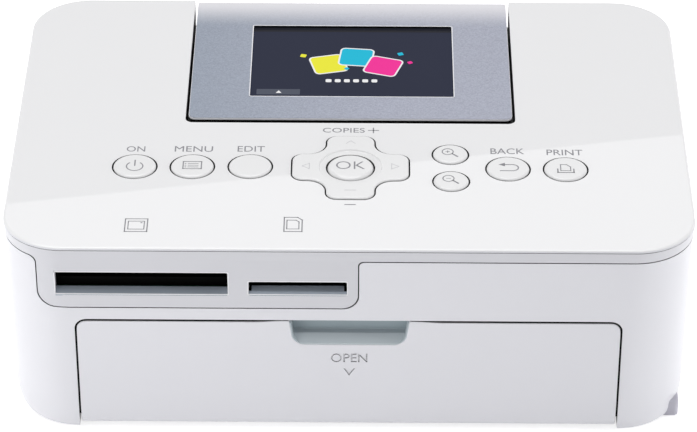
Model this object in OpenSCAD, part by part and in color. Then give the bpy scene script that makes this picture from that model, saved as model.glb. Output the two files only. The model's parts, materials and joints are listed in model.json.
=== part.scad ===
// Compact photo printer, in millimetres. X runs to the right, Y to the rear, Z up.
// The origin is the centre of the footprint, on the surface the feet stand on.

/* [Case] */
// Width of the case over its side walls
case_w = 178; // [176:1:182]
// Depth of the case, front to rear
case_d = 127; // [127:1:130]
// Height of the top cover above the table
case_h = 60.5; // [60.5:0.5:62]
// Wall thickness of the case and the top cover
wall = 2.2; // [1.8:0.1:2.4]
// Plan radius of the case corners at the top
corner_r = 16; // [14:0.5:17]
// Height of the parting line between the case and the top cover
part_z = 56.2; // [56:0.1:56.4]

/* [Doors] */
// Width of the paper door
door_w = 140.2; // [136:0.2:142]
// Height of the top edge of the paper door
door_top = 36.8; // [35:0.2:37]
// Width of the finger notch at the top of the paper door
notch_w = 30.6; // [24:0.2:34]
// Length of the ink door along the right side
ink_door_l = 61.6; // [60:0.2:64]
// Height of the top edge of the ink door
ink_door_top = 49.7; // [46:0.1:52]

/* [Display] */
// Width of the tilting display panel
panel_w = 86.8; // [84:0.2:87]
// Gap between the display panel and the top cover
panel_gap = 0.8; // [0.6:0.1:1]
// Distance from the display's tilt axis to its top and rear faces
tilt_in = 10; // [9.5:0.1:10]
// Width of the display window
window_w = 55.2; // [52:0.2:58]
// Length of the display window, front to rear
window_l = 37.9; // [36:0.1:39]

/* [Keys] */
// Height of the key tops above the top cover
key_rise = 0.4; // [0.2:0.1:0.6]
// Travel of a key
key_travel = 0.5; // [0.3:0.1:0.5]
// Diameter of the two zoom keys
zoom_d = 9.8; // [9:0.1:10]
// Diameter of the other round keys
key_d = 11.9; // [11:0.1:12.4]
// Half length of the direction pad
pad_reach = 15.5; // [14:0.1:16]

/* [Card slots] */
// Width of the large memory card throat
large_card_w = 43.4; // [43.2:0.1:43.6]
// Width of the small memory card throat
small_card_w = 24.2; // [24.1:0.1:24.4]

/* [Paper feed] */
// Width between the two side plates of the chassis
chassis_in_w = 119; // [118:0.5:119]
// Radius of the platen roller
platen_r = 6.5; // [6:0.1:6.5]
// Radius of the roller shafts in the side plates
shaft_r = 1.5; // [1.3:0.1:1.6]
// Running clearance of a shaft in its bore
fit_gap = 0.05; // [0.03:0.01:0.08]
// Gear module
gear_m = 0.8; // [0.8:0.1:0.8]

/* [Ink cassette] */
// Length of the ink cassette
cassette_l = 130; // [128:0.5:130]
// Outer radius of the two spool housings
housing_r = 9.5; // [9:0.1:9.5]

/* [Hidden] */
$fn = 64;

eps = 0.01;
disc_t = 0.1;                   // thickness of a plan section of a loft
front_y = -case_d / 2;
rear_y = case_d / 2;
side_x = case_w / 2;
seam = 0.15;                    // half of the gap at the parting line
ceiling_z = case_h - wall;
base_z = 1.3;                   // underside of the case
floor_z = base_z + wall;        // inside face of the case floor
lean = 0.0716;                  // how far the front wall leans in, per mm of height
front_in = 0.77;                // front wall inset at the parting line
side_in = 0.3;                  // side wall inset at the parting line

// Case sections: height, side inset, front inset, plan radius.
case_levels = [
    [base_z + disc_t, 2.75, 4.95, corner_r - 0.9],
    [base_z + 0.6, 2.1, 4.65, corner_r - 0.2],
    [4, 1.06, 4.46, corner_r + 1.1],
    [8, 0.44, 4.22, corner_r + 2.75],
    [part_z + seam, side_in, front_in, corner_r]];
inside_levels = [
    [floor_z + disc_t, 1.4, 4.5, corner_r + 0.8],
    [8, 0.44, 4.22, corner_r + 2.75],
    [part_z + 5, side_in, front_in - 5 * lean, corner_r]];
cover_levels = [
    [part_z + seam, side_in, front_in, corner_r],
    [case_h - 1.0, 0, 0, corner_r],
    [case_h - 0.3, 0.3, 0.3, corner_r - 0.3],
    [case_h, 1.0, 1.0, corner_r - 1]];

// Paper door
door_r = 2.5;                   // barrel along the hinge edge of the door
door_z = 4.2;                   // hinge axis height
door_y = front_y + front_in + lean * (part_z - door_z) + door_r;
door_gap = 0.45;
door_pin_r = 1.2;
door_t = 2.2;
notch_z = 29.7;
liner_w = 118;
bay_y0 = -50.5;                 // front end of the cassette bay

// Ink door
ink_r = 2.15;
ink_z = 10.5;
ink_x = side_x - side_in - 0.13 - ink_r;
ink_y = 13;                     // middle of the ink door and of the ink cassette
ink_gap = 0.35;

// Tongue of the top cover around the card slots
tongue_x0 = -79.7;
tongue_x1 = 2.4;
tongue_z = 41.2;
tongue_gap = 0.3;
large_slot = [-75.0, -30.9, 45.6, 52.5];    // x0, x1, z0, z1
small_slot = [-25.6, -0.4, 45.7, 49.7];
ramp_z = 48.2;                  // height where a card leaves the ramp
connector_y0 = -57.5;
connector_y1 = -20.6;
card_board_z = 43.6;
card_board_top = card_board_z + 1.6;

// Display
well_front = -2;
tilt_y = rear_y - tilt_in;
tilt_z = case_h - tilt_in;
panel_z0 = case_h - 5.9;        // underside of the display panel
panel_tip = case_h - 7.6;       // lower end of the panel's rear face
crown_y = 50.8;                 // the top of the panel starts to fall here
crown_r = 200;
panel_edge_r = 1.2;
bezel_t = 1.6;
window_c = [0.3, 30.3];
trough_r = tilt_in + 0.35;
trough_t = 1.2;
well_floor = panel_z0 - 0.4;
notch_floor = 43.6;             // top of the rear wall behind the display
tilt_boss_r = 6.4;
tilt_pin_r = 1.48;
well_x = panel_w / 2 + panel_gap;

// Keys: centre x, centre y, diameter
power_c = [-56.4, -24.6];
menu_c = [-41.3, -24.5];
edit_c = [-26.1, -24.3];
zoom_in_c = [26.5, -17.9];
zoom_out_c = [26.5, -31.0];
back_c = [41.5, -24.8];
print_c = [56.6, -24.9];
pad_c = [0.2, -24.5];
lobe_w = 6.5;
lobe_r = 3;
fillet_r = 5;
ok_r = 6.4;
key_gap = 0.35;
key_top = case_h + key_rise;
flange_z = ceiling_z - 1.0;
board_z = 53.1;
board_t = 1.4;
dome_z = board_z + board_t;
mat_z = 55.0;
mat_t = 0.5;
rock_z = 56.45;                 // height of the axes that the direction pad rocks about
rock_pin_r = 0.32;
// Posts that hold the key board, and the switches under the keys
board_posts = [[-63, -12], [63, -12], [-63, -40], [63, -40], [-14, -43.5], [14, -43.5]];
switch_places = concat([power_c, menu_c, edit_c, zoom_in_c, zoom_out_c, back_c, print_c, pad_c],
    [for (a = [0:90:270]) pad_c + 11.5 * [cos(a), sin(a)]]);

// Chassis
plate_t = 1.6;
left_in = -62;                  // inside face of the left side plate
right_in = left_in + chassis_in_w;
plate_y0 = -20;
plate_y1 = 42;
plate_z1 = 50;
bore_r = shaft_r + fit_gap;

// Roller and spool axes: y, z
pickup_c = [-14, 21];
platen_c = [14, 12.2];
capstan_c = [27, 16.2];
pinch_c = [27, 9.6];
supply_c = [-2, 32];
take_up_c = [30, 32];
head_c = [38, 46];
pickup_r = 5.5;
capstan_r = 3;
pinch_r = 3.3;

// Gears: tooth counts and planes
pinion_n = 12;
idler_n = 30;
roller_gear_n = 24;
ribbon_n = 28;
gear_t = 3.6;
feed_x = left_in - plate_t - 0.6 - gear_t;
ribbon_x = feed_x - 0.6 - gear_t;
backlash = 0.14;
function pitch_r(n) = gear_m * n / 2;
function span(a, b) = norm(b - a);
function heading(a, b) = atan2(b[1] - a[1], b[0] - a[0]);
// The idler sits where it meshes with both roller gears.
mesh_d = pitch_r(idler_n) + pitch_r(roller_gear_n);
half_span = span(pickup_c, capstan_c) / 2;
idler_off = sqrt(mesh_d * mesh_d - half_span * half_span);
roller_dir = heading(pickup_c, capstan_c);
idler_c = (pickup_c + capstan_c) / 2 + idler_off * [-sin(roller_dir), cos(roller_dir)];
motor_dir = 126;
motor_c = idler_c + (pitch_r(idler_n) + pitch_r(pinion_n)) * [cos(motor_dir), sin(motor_dir)];
ribbon_dir = 100;
ribbon_motor_c = take_up_c + (pitch_r(ribbon_n) + pitch_r(pinion_n)) * [cos(ribbon_dir), sin(ribbon_dir)];
// Angle of the second gear that puts a gap opposite a tooth of the first.
function mesh_phase(a, na, pa, b, nb) =
    heading(a, b) + 180 - 360 / nb * (0.5 - (heading(a, b) - pa) * na / 360);
idler_phase = mesh_phase(motor_c, pinion_n, 0, idler_c, idler_n);
capstan_phase = mesh_phase(idler_c, idler_n, idler_phase, capstan_c, roller_gear_n);
pickup_phase = mesh_phase(idler_c, idler_n, idler_phase, pickup_c, roller_gear_n);
ribbon_phase = mesh_phase(ribbon_motor_c, pinion_n, 0, take_up_c, ribbon_n);

// Motors
motor_x0 = -84.6;
motor_x1 = ribbon_x - 0.8;
feed_motor_r = 10;
ribbon_motor_r = 9;
feed_motor_tilt = 10;
// Middles of the posts that carry a motor: its centre, body radius and tilt.
function post_places(c, r, tilt) = [for (s = [-1, 1]) c + s * (r + 2.2) * [cos(tilt), sin(tilt)]];

// Ink cassette
cassette_x0 = -58;
cassette_x1 = cassette_x0 + cassette_l;
spool_r = 8;
housing_t = 1.2;
film_z = 19.0;

// Thermal head
head_w = 103;
head_y = 12.6;
head_tip = 21.4;

// Lever that lets the cassette out
lever_c = [68, 45];
lever_z = 26;
lever_pin_r = 1.5;

// Rear wall
inlet_x = -66;
inlet_z = 12.5;
usb_z = 28;
fan_c = [60.5, 31.5];           // middle of the fan: x, z
fan_size = 25;
fan_y = 53.4;
fan_t = 7;
paper_slot_w = 108;

// ---------- shared shapes ----------

// Solid whose plan is a rectangle with round corners.
module slab(x0, x1, y0, y1, z0, z1, r = 0) {
    translate([0, 0, z0]) linear_extrude(z1 - z0) rounded(x0, x1, y0, y1, r);
}

// Slab with the plan of the case, pulled in on every side.
module plan_slab(inset, z0, z1) {
    x = side_x - inset;
    slab(-x, x, front_y + inset + 0.6, rear_y - inset, z0, z1, corner_r - inset);
}

// Rectangle with round corners.
module rounded(x0, x1, y0, y1, r = 0) {
    if (r == 0) translate([x0, y0]) square([x1 - x0, y1 - y0]);
    else union() {
        translate([x0 + r, y0]) square([x1 - x0 - 2 * r, y1 - y0]);
        translate([x0, y0 + r]) square([x1 - x0, y1 - y0 - 2 * r]);
        for (x = [x0 + r, x1 - r], y = [y0 + r, y1 - r]) translate([x, y]) circle(r);
    }
}

// Extrudes a (y, z) profile along X from x0 to x1.
module along_x(x0, x1) {
    translate([x0, 0, 0]) rotate([90, 0, 90]) linear_extrude(x1 - x0) children();
}

// Extrudes an (x, z) profile along Y from y0 to y1.
module along_y(y0, y1) {
    translate([0, y1, 0]) rotate([90, 0, 0]) linear_extrude(y1 - y0) children();
}

// Round bar along X, centred on c = [y, z].
module rod(c, r, x0, x1) {
    translate([x0, c[0], c[1]]) rotate([0, 90, 0]) cylinder(h = x1 - x0, r = r);
}

// Smooth convex body through a list of plan sections, each pulled in by extra.
module loft(levels, extra = 0) {
    hull() for (lv = levels) {
        r = lv[3] - extra;
        x = side_x - lv[1] - extra - r;
        y0 = front_y + lv[2] + extra + r;
        y1 = rear_y - lv[1] - extra - r;
        for (sx = [-x, x], y = [y0, y1]) translate([sx, y, lv[0] - disc_t])
            cylinder(h = disc_t, r = r, $fn = 48);
    }
}

module case_solid() { loft(case_levels); }

// Inside of the case, open at the top.
module case_inside() { loft(inside_levels, wall); }

// Spur gear in the (y, z) plane with flat-sided teeth.
module gear(c, n, x0, x1, phase, bore) {
    pr = pitch_r(n);
    tip_r = pr + gear_m * 0.9;
    root_r = pr - gear_m * 1.15;
    w_root = gear_m * PI / 2 * 0.62 - backlash / 2;
    w_tip = gear_m * PI / 2 * 0.26 - backlash / 2;
    translate([0, c[0], c[1]]) difference() {
        along_x(x0, x1) union() {
            circle(root_r);
            for (i = [0:n - 1]) rotate(phase + i * 360 / n)
                polygon([[root_r - 0.3, -w_root], [tip_r, -w_tip], [tip_r, w_tip], [root_r - 0.3, w_root]]);
        }
        rod([0, 0], bore, x0 - 1, x1 + 1);
    }
}

// ---------- case ----------

module tongue_outline(grow) {
    rounded(tongue_x0 - grow, tongue_x1 + grow, tongue_z - grow, part_z + 9, 4.2 + grow);
}

module door_aperture() {
    x = door_w / 2 + 0.25;
    translate([-x, front_y - 1, 0]) cube([2 * x, 10, door_top + door_gap]);
    translate([-x, front_y - 1, -1]) cube([2 * x, 11.2, 7]);
}

module ink_aperture() {
    y0 = ink_y - ink_door_l / 2 - ink_gap;
    y1 = ink_y + ink_door_l / 2 + ink_gap;
    translate([side_x - 8, y0, ink_z - ink_r - ink_gap])
        cube([10, y1 - y0, ink_door_top + 2 * ink_gap - ink_z + ink_r]);
}

module rear_openings() {
    translate([-well_x, rear_y - 6, notch_floor]) cube([2 * well_x, 8, 20]);
    along_y(rear_y - 6, rear_y + 1) {
        rounded(-paper_slot_w / 2, paper_slot_w / 2, 9.5, 16.5, 1);
        for (i = [-3:3]) translate(fan_c + [0, i * 3]) rounded(-10, 10, -0.8, 0.8, 0.7);
        translate([inlet_x, inlet_z]) circle(4.2);
        rounded(inlet_x - 4.4, inlet_x + 4.4, usb_z - 4.1, usb_z + 4.1, 0.8);
    }
}

module screw_places() {
    for (s = [-1, 1], c = [[81.5, -40], [79, 50]]) translate([s * c[0], c[1], 0]) children();
}

module base_case() color("whitesmoke") {
    difference() {
        union() {
            difference() {
                case_solid();
                case_inside();
                translate([0, 0, part_z - seam + 10]) cube([case_w + 2, case_d + 2, 20], center = true);
            }
            // Lip inside the parting line.
            difference() {
                union() {
                    plan_slab(2, part_z - 3.2, part_z - seam);
                    plan_slab(2.7, part_z - 3.2, part_z + 1.3);
                }
                plan_slab(3.7, part_z - 4, part_z + 2);
            }
            // Hinge blocks of the paper door and of the ink door.
            intersection() {
                case_solid();
                for (s = [-1, 1]) {
                    translate([s * (door_w / 2 + 2.45), door_y - 0.2, floor_z + 1.6])
                        cube([4.4, 6, 7], center = true);
                    translate([ink_x, ink_y + s * (ink_door_l / 2 + ink_gap + 2), floor_z + 4.6])
                        cube([5, 4, 11.2], center = true);
                }
            }
            // Screw bosses.
            screw_places() translate([0, 0, floor_z - 0.5]) cylinder(h = part_z - floor_z, r = 3.4);
            // Post of the cassette lever.
            translate([lever_c[0], lever_c[1], floor_z - 0.5]) {
                cylinder(h = lever_z - floor_z + 0.2, r = 3.2);
                cylinder(h = lever_z - floor_z + 8, r = lever_pin_r);
            }
            // Skid at the lower right corner.
            slab(side_x - 6.2, side_x - 1.1, -51.8, -44.5, 0.4, 5.2, 1.2);
        }
        door_aperture();
        ink_aperture();
        rear_openings();
        along_y(front_y - 1, front_y + 7) tongue_outline(tongue_gap);
        translate([-well_x, 50, notch_floor]) cube([2 * well_x, 20, 20]);
        rod([door_y, door_z], door_pin_r + fit_gap, -door_w / 2 - 3.6, door_w / 2 + 3.6);
        translate([ink_x, ink_y, ink_z]) rotate([90, 0, 0])
            cylinder(h = ink_door_l + 2 * ink_gap + 6, r = 1 + fit_gap, center = true);
        screw_places() {
            translate([0, 0, base_z - 1]) cylinder(h = 3.2, r = 3);
            translate([0, 0, base_z - 1]) cylinder(h = 80, r = 1.6);
        }
    }
}

module key_hole(c, d) {
    translate([c[0], c[1], ceiling_z - 1]) cylinder(h = 6, d = d + 2 * key_gap);
}

module top_cover() color("white") {
    difference() {
        union() {
            difference() {
                loft(cover_levels);
                slab(-side_x + 2.5, side_x - 2.5, front_y + 2.97, rear_y - 2.5,
                    part_z - 1, ceiling_z, corner_r - 2.5);
            }
            intersection() {
                difference() {
                    loft(case_levels);
                    case_inside();
                }
                along_y(front_y - 1, front_y + 7) tongue_outline(0);
            }
            // Screw posts, and the posts that hold the key board.
            screw_places() translate([0, 0, part_z + 0.2]) cylinder(h = 2.2, r = 3.4);
            for (c = board_posts) translate([c[0], c[1], dome_z])
                cylinder(h = ceiling_z - dome_z + 0.3, r = 2);
        }
        // Opening for the display panel.
        slab(-well_x, well_x, well_front, rear_y + 10, part_z - 5, case_h + 1, 2);
        key_hole(power_c, key_d);
        key_hole(menu_c, key_d);
        key_hole(edit_c, key_d);
        key_hole(zoom_in_c, zoom_d);
        key_hole(zoom_out_c, zoom_d);
        key_hole(back_c, key_d);
        key_hole(print_c, key_d);
        translate([pad_c[0], pad_c[1], ceiling_z - 1]) linear_extrude(6) pad_outline(key_gap);
        along_y(front_y - 1, front_y + 8) {
            rounded(large_slot[0], large_slot[1], large_slot[2], large_slot[3], 0.5);
            rounded(small_slot[0], small_slot[1], small_slot[2], small_slot[3], 0.5);
        }
        screw_places() translate([0, 0, part_z - 1]) cylinder(h = 3, r = 1.2);
        for (c = board_posts) translate([c[0], c[1], dome_z - 1]) cylinder(h = 4, r = 0.9);
    }
}

module feet() color("dimgray")
    for (x = [-71, 71], y = [-44, 44]) translate([x, y, 0]) cylinder(h = base_z, r = 5);

module case_screws() color("silver")
    screw_places() difference() {
        union() {
            translate([0, 0, base_z + 0.9]) cylinder(h = 1.3, r = 2.6);
            translate([0, 0, base_z + 1]) cylinder(h = part_z + 0.8 - base_z, r = 1.15);
        }
        translate([0, 0, base_z + 0.4]) cylinder(h = 1.1, r = 1.3, $fn = 6);
    }

// ---------- paper door ----------

// Door profile in (y, z): barrel at the bottom, slab leaning with the case front.
module door_profile() {
    h = door_top - door_z;
    translate([door_y, door_z]) circle(door_r);
    polygon([[door_y - door_r, door_z], [door_y - door_r - lean * h, door_top],
        [door_y - door_r - lean * h + door_t, door_top], [door_y - door_r + door_t, door_z]]);
}

module paper_door() color("whitesmoke") {
    difference() {
        along_x(-door_w / 2, door_w / 2) door_profile();
        // Finger notch.
        along_y(front_y - 1, door_y + 5) {
            rounded(-13.7, 13.7, notch_z, door_top + 8, 3);
            polygon([[-notch_w / 2, door_top + 1], [-13.7, notch_z + 3.2],
                [13.7, notch_z + 3.2], [notch_w / 2, door_top + 1]]);
        }
    }
    for (s = [-1, 1]) rod([door_y, door_z], door_pin_r,
        s > 0 ? door_w / 2 - 0.5 : -door_w / 2 - 3.1, s > 0 ? door_w / 2 + 3.1 : -door_w / 2 + 0.5);
}

// Inner panel of the paper door with its finger scoop.
module door_liner() color("lightslategray") {
    y0 = door_y - door_r + door_t - lean * (door_top - door_z);
    difference() {
        union() {
            along_x(-liner_w / 2, liner_w / 2) polygon([
                [door_y - door_r + door_t - 0.3 * lean, door_z + 4.5], [y0 + 0.3 * lean, door_top - 0.3],
                [y0 + 1.2, door_top - 0.3], [door_y - door_r + door_t + 1.2, door_z + 4.5]]);
            along_x(-17, 17) polygon([[y0 + 0.6, door_top - 0.3], [y0 + 7.2, door_top - 1.0],
                [y0 + 7.2, notch_z - 3.6], [y0 + 1.0, notch_z - 2.2]]);
        }
        along_x(-15.6, 15.6) polygon([[y0 - 1, door_top + 2], [y0 + 6, door_top + 2],
            [y0 + 6, notch_z - 1.6], [y0 - 1, notch_z]]);
    }
}

// Grey tunnel that takes the paper cassette.
module cassette_bay() color("darkgray")
    difference() {
        slab(-61.5, 61.5, bay_y0, plate_y0 - 0.4, floor_z, 37.6);
        slab(-60, 60, -60, plate_y0 + 5, floor_z + 1.2, 36.2);
    }

// ---------- ink door ----------

module ink_door() color("whitesmoke") {
    intersection() {
        union() {
            slab(ink_x - 0.2, side_x, ink_y - ink_door_l / 2, ink_y + ink_door_l / 2, ink_z, ink_door_top);
            translate([ink_x, ink_y, ink_z]) rotate([90, 0, 0])
                cylinder(h = ink_door_l, r = ink_r, center = true);
        }
        loft(case_levels);
    }
    for (s = [-1, 1]) translate([ink_x, ink_y + s * (ink_door_l / 2 + 1.25), ink_z]) rotate([90, 0, 0])
        cylinder(h = 3.5, r = 1, center = true);
}

// ---------- display ----------

// Panel profile in (y, z), crowned towards the rear; t pulls it in on every side.
module panel_profile(t, tip) {
    z0 = panel_z0 - (t > 0 ? 1 : 0);
    top = case_h - t;
    translate([t, z0]) square([crown_y - t, top - z0]);
    intersection() {
        translate([crown_y, top - crown_r]) circle(crown_r, $fn = 720);
        union() {
            translate([crown_y - eps, z0]) square([tilt_y - crown_y + 2, top - z0]);
            rounded(tilt_y, rear_y - t, tip, top, max(panel_edge_r - t, 0.2));
        }
    }
}

module display_bezel() color("lightsteelblue")
    difference() {
        intersection() {
            along_x(-panel_w / 2, panel_w / 2) panel_profile(0, panel_tip);
            slab(-panel_w / 2, panel_w / 2, 0, rear_y + 5, panel_tip - 1, case_h + 1, 1.8);
        }
        along_x(-panel_w / 2 + bezel_t, panel_w / 2 - bezel_t) panel_profile(bezel_t, panel_tip - 1);
        window_block(0, 10);
    }

module window_block(inset, top) {
    slab(window_c[0] - window_w / 2 + inset, window_c[0] + window_w / 2 - inset,
        window_c[1] - window_l / 2 + inset, window_c[1] + window_l / 2 - inset,
        case_h - 1.2, case_h + top, 0.6);
}

module display_window() color("midnightblue") {
    window_block(0.1, -0.25);
    slab(window_c[0] - window_w / 2 - 1.5, window_c[0] + window_w / 2 + 1.5,
        window_c[1] - window_l / 2 - 1.5, window_c[1] + window_l / 2 + 1.5,
        case_h - 2.4, case_h - bezel_t, 0);
}

module lcd_module() color("slategray")
    slab(window_c[0] - 31, window_c[0] + 31, window_c[1] - 22, window_c[1] + 22,
        panel_z0 + 1.6, case_h - 2.5, 1);

module display_back() color("dimgray")
    difference() {
        union() {
            slab(-panel_w / 2 + bezel_t + 0.1, panel_w / 2 - bezel_t - 0.1,
                bezel_t + 0.1, tilt_y, panel_z0, panel_z0 + 1.4);
            for (s = [-1, 1]) {
                x = s * (panel_w / 2 - bezel_t - 2.1);
                rod([tilt_y, tilt_z], 5.4, x - 2, x + 2);
                translate([x - 2, tilt_y - 5.4, tilt_z]) cube([4, 5.4, panel_z0 + 0.7 - tilt_z]);
            }
        }
        rod([tilt_y, tilt_z], tilt_pin_r + fit_gap, -panel_w, panel_w);
    }

module display_hinge_pins() color("silver")
    for (s = [-1, 1]) {
        x = s * panel_w / 2;
        rod([tilt_y, tilt_z], tilt_pin_r, min(x - s * 5.4, x + s * 2.6), max(x - s * 5.4, x + s * 2.6));
    }

// Dark tray under the display, with the trough its rear edge turns in.
module display_well() color("darkslategray") {
    x_in = well_x;
    x_out = well_x + 1.8;
    top = ceiling_z - 0.1;
    difference() {
        union() {
            along_x(-x_out, x_out) well_floor_profile();
            for (s = [-1, 1]) along_x(s > 0 ? x_in : -x_out, s > 0 ? x_out : -x_in) well_side_profile(top);
            along_x(-x_out, x_out) rounded(well_front - 1.3, well_front, well_floor - 1.2, top);
            for (s = [-1, 1]) {
                x = s * (panel_w / 2 + 0.25);
                rod([tilt_y, tilt_z], tilt_boss_r, min(x, s * x_out), max(x, s * x_out));
            }
        }
        rod([tilt_y, tilt_z], tilt_pin_r + 0.02, -case_w, case_w);
    }
}

module well_floor_profile() {
    lip_y = tilt_y - sqrt(pow(trough_r, 2) - pow(well_floor - 1.2 - tilt_z, 2));
    rounded(well_front, lip_y - 0.3, well_floor - 1.2, well_floor);
    difference() {
        translate([tilt_y, tilt_z]) circle(trough_r + trough_t);
        translate([tilt_y, tilt_z]) circle(trough_r);
        translate([tilt_y - 20, well_floor]) square([40, 20]);
        translate([rear_y - wall - side_in - 0.35, tilt_z - 20]) square([20, 40]);
        translate([tilt_y, notch_floor]) square([20, 40]);
    }
}

module well_side_profile(top) {
    translate([tilt_y, tilt_z]) difference() {
        circle(trough_r + trough_t);
        translate([-20, 2]) square([40, 20]);
        translate([rear_y - wall - side_in - 0.35 - tilt_y, -20]) square([20, 40]);
    }
    rounded(well_front - 1.3, rear_y - wall - side_in - 1.4, well_floor - 1.2, top);
}

// ---------- keys ----------

// Cross-shaped outline of the direction pad.
module pad_outline(grow) {
    rounded(-lobe_w - grow, lobe_w + grow, -pad_reach - grow, pad_reach + grow, lobe_r + grow);
    rounded(-pad_reach - grow, pad_reach + grow, -lobe_w - grow, lobe_w + grow, lobe_r + grow);
    f = lobe_w + fillet_r;
    for (sx = [-1, 1], sy = [-1, 1]) scale([sx, sy]) difference() {
        square([f, f]);
        translate([f, f]) circle(fillet_r - grow);
        translate([f, f]) square([9, 9]);
    }
}

module round_key(c, d) {
    translate([c[0], c[1], flange_z]) {
        cylinder(h = key_top - flange_z, d = d);
        cylinder(h = 0.7, d = d + 1.6);
        translate([0, 0, -1.1]) cylinder(h = 1.2, d = 3);
    }
}

module power_button() color("white") round_key(power_c, key_d);
module menu_button() color("white") round_key(menu_c, key_d);
module edit_button() color("white") round_key(edit_c, key_d);
module zoom_in_button() color("white") round_key(zoom_in_c, zoom_d);
module zoom_out_button() color("white") round_key(zoom_out_c, zoom_d);
module back_button() color("white") round_key(back_c, key_d);
module print_button() color("white") round_key(print_c, key_d);

module nav_pad() color("white")
    translate([pad_c[0], pad_c[1], 0]) difference() {
        union() {
            translate([0, 0, 57.1]) linear_extrude(key_top - 57.1) pad_outline(0);
            translate([0, 0, 57.1]) linear_extrude(0.5) pad_outline(0.9);
            for (s = [-1, 1]) translate([-1, s * 10.2 - 0.4, rock_z - 0.55]) cube([2, 0.8, 57.4 - rock_z]);
        }
        translate([0, 0, 50]) cylinder(h = 20, r = ok_r + 0.35);
        translate([0, 0, rock_z]) rotate([90, 0, 0]) cylinder(h = 30, r = rock_pin_r + 0.03, center = true);
    }

// Ring under the direction pad. Pins along X turn in the key mat, pins along Y carry the pad.
module nav_gimbal() color("gray")
    translate([pad_c[0], pad_c[1], rock_z]) {
        difference() {
            translate([0, 0, -0.35]) cylinder(h = 0.7, r = 9.5);
            translate([0, 0, -1]) cylinder(h = 3, r = 7.6);
        }
        for (a = [0:90:270]) rotate([0, 90, a]) translate([0, 0, 9.3]) cylinder(h = 1.4, r = rock_pin_r);
    }

module ok_button() color("white")
    translate([pad_c[0], pad_c[1], 0]) {
        translate([0, 0, 57]) cylinder(h = key_top - 57 - 0.2, r = ok_r);
        translate([0, 0, 56]) cylinder(h = 1.2, r = 2);
    }

module key_mat() color("lightgray")
    difference() {
        union() {
            slab(-64, 64, -43, -9.5, mat_z, mat_z + mat_t, 2);
            for (s = [-1, 1]) translate([pad_c[0] + s * 10.2 - 0.4, pad_c[1] - 1, mat_z])
                cube([0.8, 2, rock_z + 0.2 - mat_z]);
        }
        for (c = board_posts) translate([c[0], c[1], mat_z - 1]) cylinder(h = 3, r = 2.4);
        rod([pad_c[1], rock_z], rock_pin_r + 0.03, pad_c[0] - 15, pad_c[0] + 15);
    }

module key_board() color("darkgreen")
    difference() {
        slab(-66, 66, -45, -8, board_z, board_z + board_t, 2);
        for (c = board_posts) translate([c[0], c[1], board_z - 1]) cylinder(h = 4, r = 1.2);
    }

module dome_switches() color("silver")
    for (c = switch_places) translate([c[0], c[1], dome_z]) cylinder(h = 0.35, r = 2.2);

// ---------- card reader and boards ----------

// Ramps under the two card slots.
module card_guide() color("slategray") {
    y0 = front_y + 4.4;
    for (s = [[large_slot[0] - 1, large_slot[1] + 1], [small_slot[0] - 1, small_slot[1] + 1]])
        along_x(s[0], s[1]) polygon([[y0, card_board_top], [y0, large_slot[2] + 0.2],
            [connector_y0 - 0.2, ramp_z - 0.3], [connector_y0 - 0.2, card_board_top]]);
}

module connector(x0, x1, throat_w, throat_z0, throat_z1, top) {
    mid = (x0 + x1) / 2;
    difference() {
        slab(x0, x1, connector_y0, connector_y1, card_board_top, top);
        translate([mid - throat_w / 2, connector_y0 - 1, throat_z0])
            cube([throat_w, connector_y1 - connector_y0 - 2, throat_z1 - throat_z0]);
    }
}

module card_connector_large() color("black")
    connector(large_slot[0] - 1.6, large_slot[1] + 1.6, large_card_w, 47.9, 52.3, 52.9);

module card_connector_small() color("black")
    connector(small_slot[0] - 1.4, small_slot[1] + 1.4, small_card_w, 47.5, 49.7, 51);

module card_board() color("darkgreen")
    slab(-77.4, 2, -57.2, connector_y1, card_board_z, card_board_top);

module main_board() color("darkgreen")
    difference() {
        slab(-60, 76, -55, -20.5, 38.6, 40.2, 1);
        screw_places() translate([0, 0, 30]) cylinder(h = 20, r = 4.2);
    }

module board_components() color("black") {
    chip = 0.5;
    for (c = [[-40, -42, 14, 14, 1.6], [-10, -40, 18, 18, 2.0], [20, -44, 10, 12, 1.4], [22, -28, 12, 8, 1.4],
            [45, -40, 16, 10, 2.4], [-38, -28, 8, 8, 1.2]])
        slab(c[0] - c[2] / 2, c[0] + c[2] / 2, c[1] - c[3] / 2, c[1] + c[3] / 2, 40.2, 40.2 + c[4], chip);
    for (c = [[55, -38], [58, -27], [63, -38], [66, -27]])
        translate([c[0], c[1], 40.2]) cylinder(h = 7, r = 2.6);
}

module dc_inlet() color("black")
    difference() {
        union() {
            slab(inlet_x - 6, inlet_x + 6, 49, 60.6, inlet_z - 4.5, inlet_z + 6);
            slab(inlet_x - 6, inlet_x + 6, 49, 59, floor_z, inlet_z - 4.5);
        }
        translate([inlet_x, 70, inlet_z]) rotate([90, 0, 0]) difference() {
            cylinder(h = 18.5, r = 2.9);
            translate([0, 0, 11]) cylinder(h = 10, r = 0.85);
        }
    }

module usb_port() color("silver")
    difference() {
        slab(inlet_x - 6, inlet_x + 6, 46, 60.6, usb_z - 5.4, usb_z + 5.4);
        along_y(48, 70) difference() {
            rounded(inlet_x - 4.2, inlet_x + 4.2, usb_z - 3.9, usb_z + 3.9);
            rounded(inlet_x - 2.8, inlet_x + 2.8, usb_z - 1.6, usb_z + 1.6);
        }
        along_y(58, 70) rounded(inlet_x - 4.2, inlet_x + 4.2, usb_z - 3.9, usb_z + 3.9);
    }

// ---------- chassis and feed ----------

module side_plate(x0) {
    difference() {
        slab(x0, x0 + plate_t, plate_y0, plate_y1, floor_z, plate_z1);
        for (c = [pickup_c, platen_c, capstan_c, pinch_c]) rod(c, bore_r, x0 - 1, x0 + plate_t + 1);
        rod(head_c, 2.02, x0 - 1, x0 + plate_t + 1);
    }
}

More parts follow.
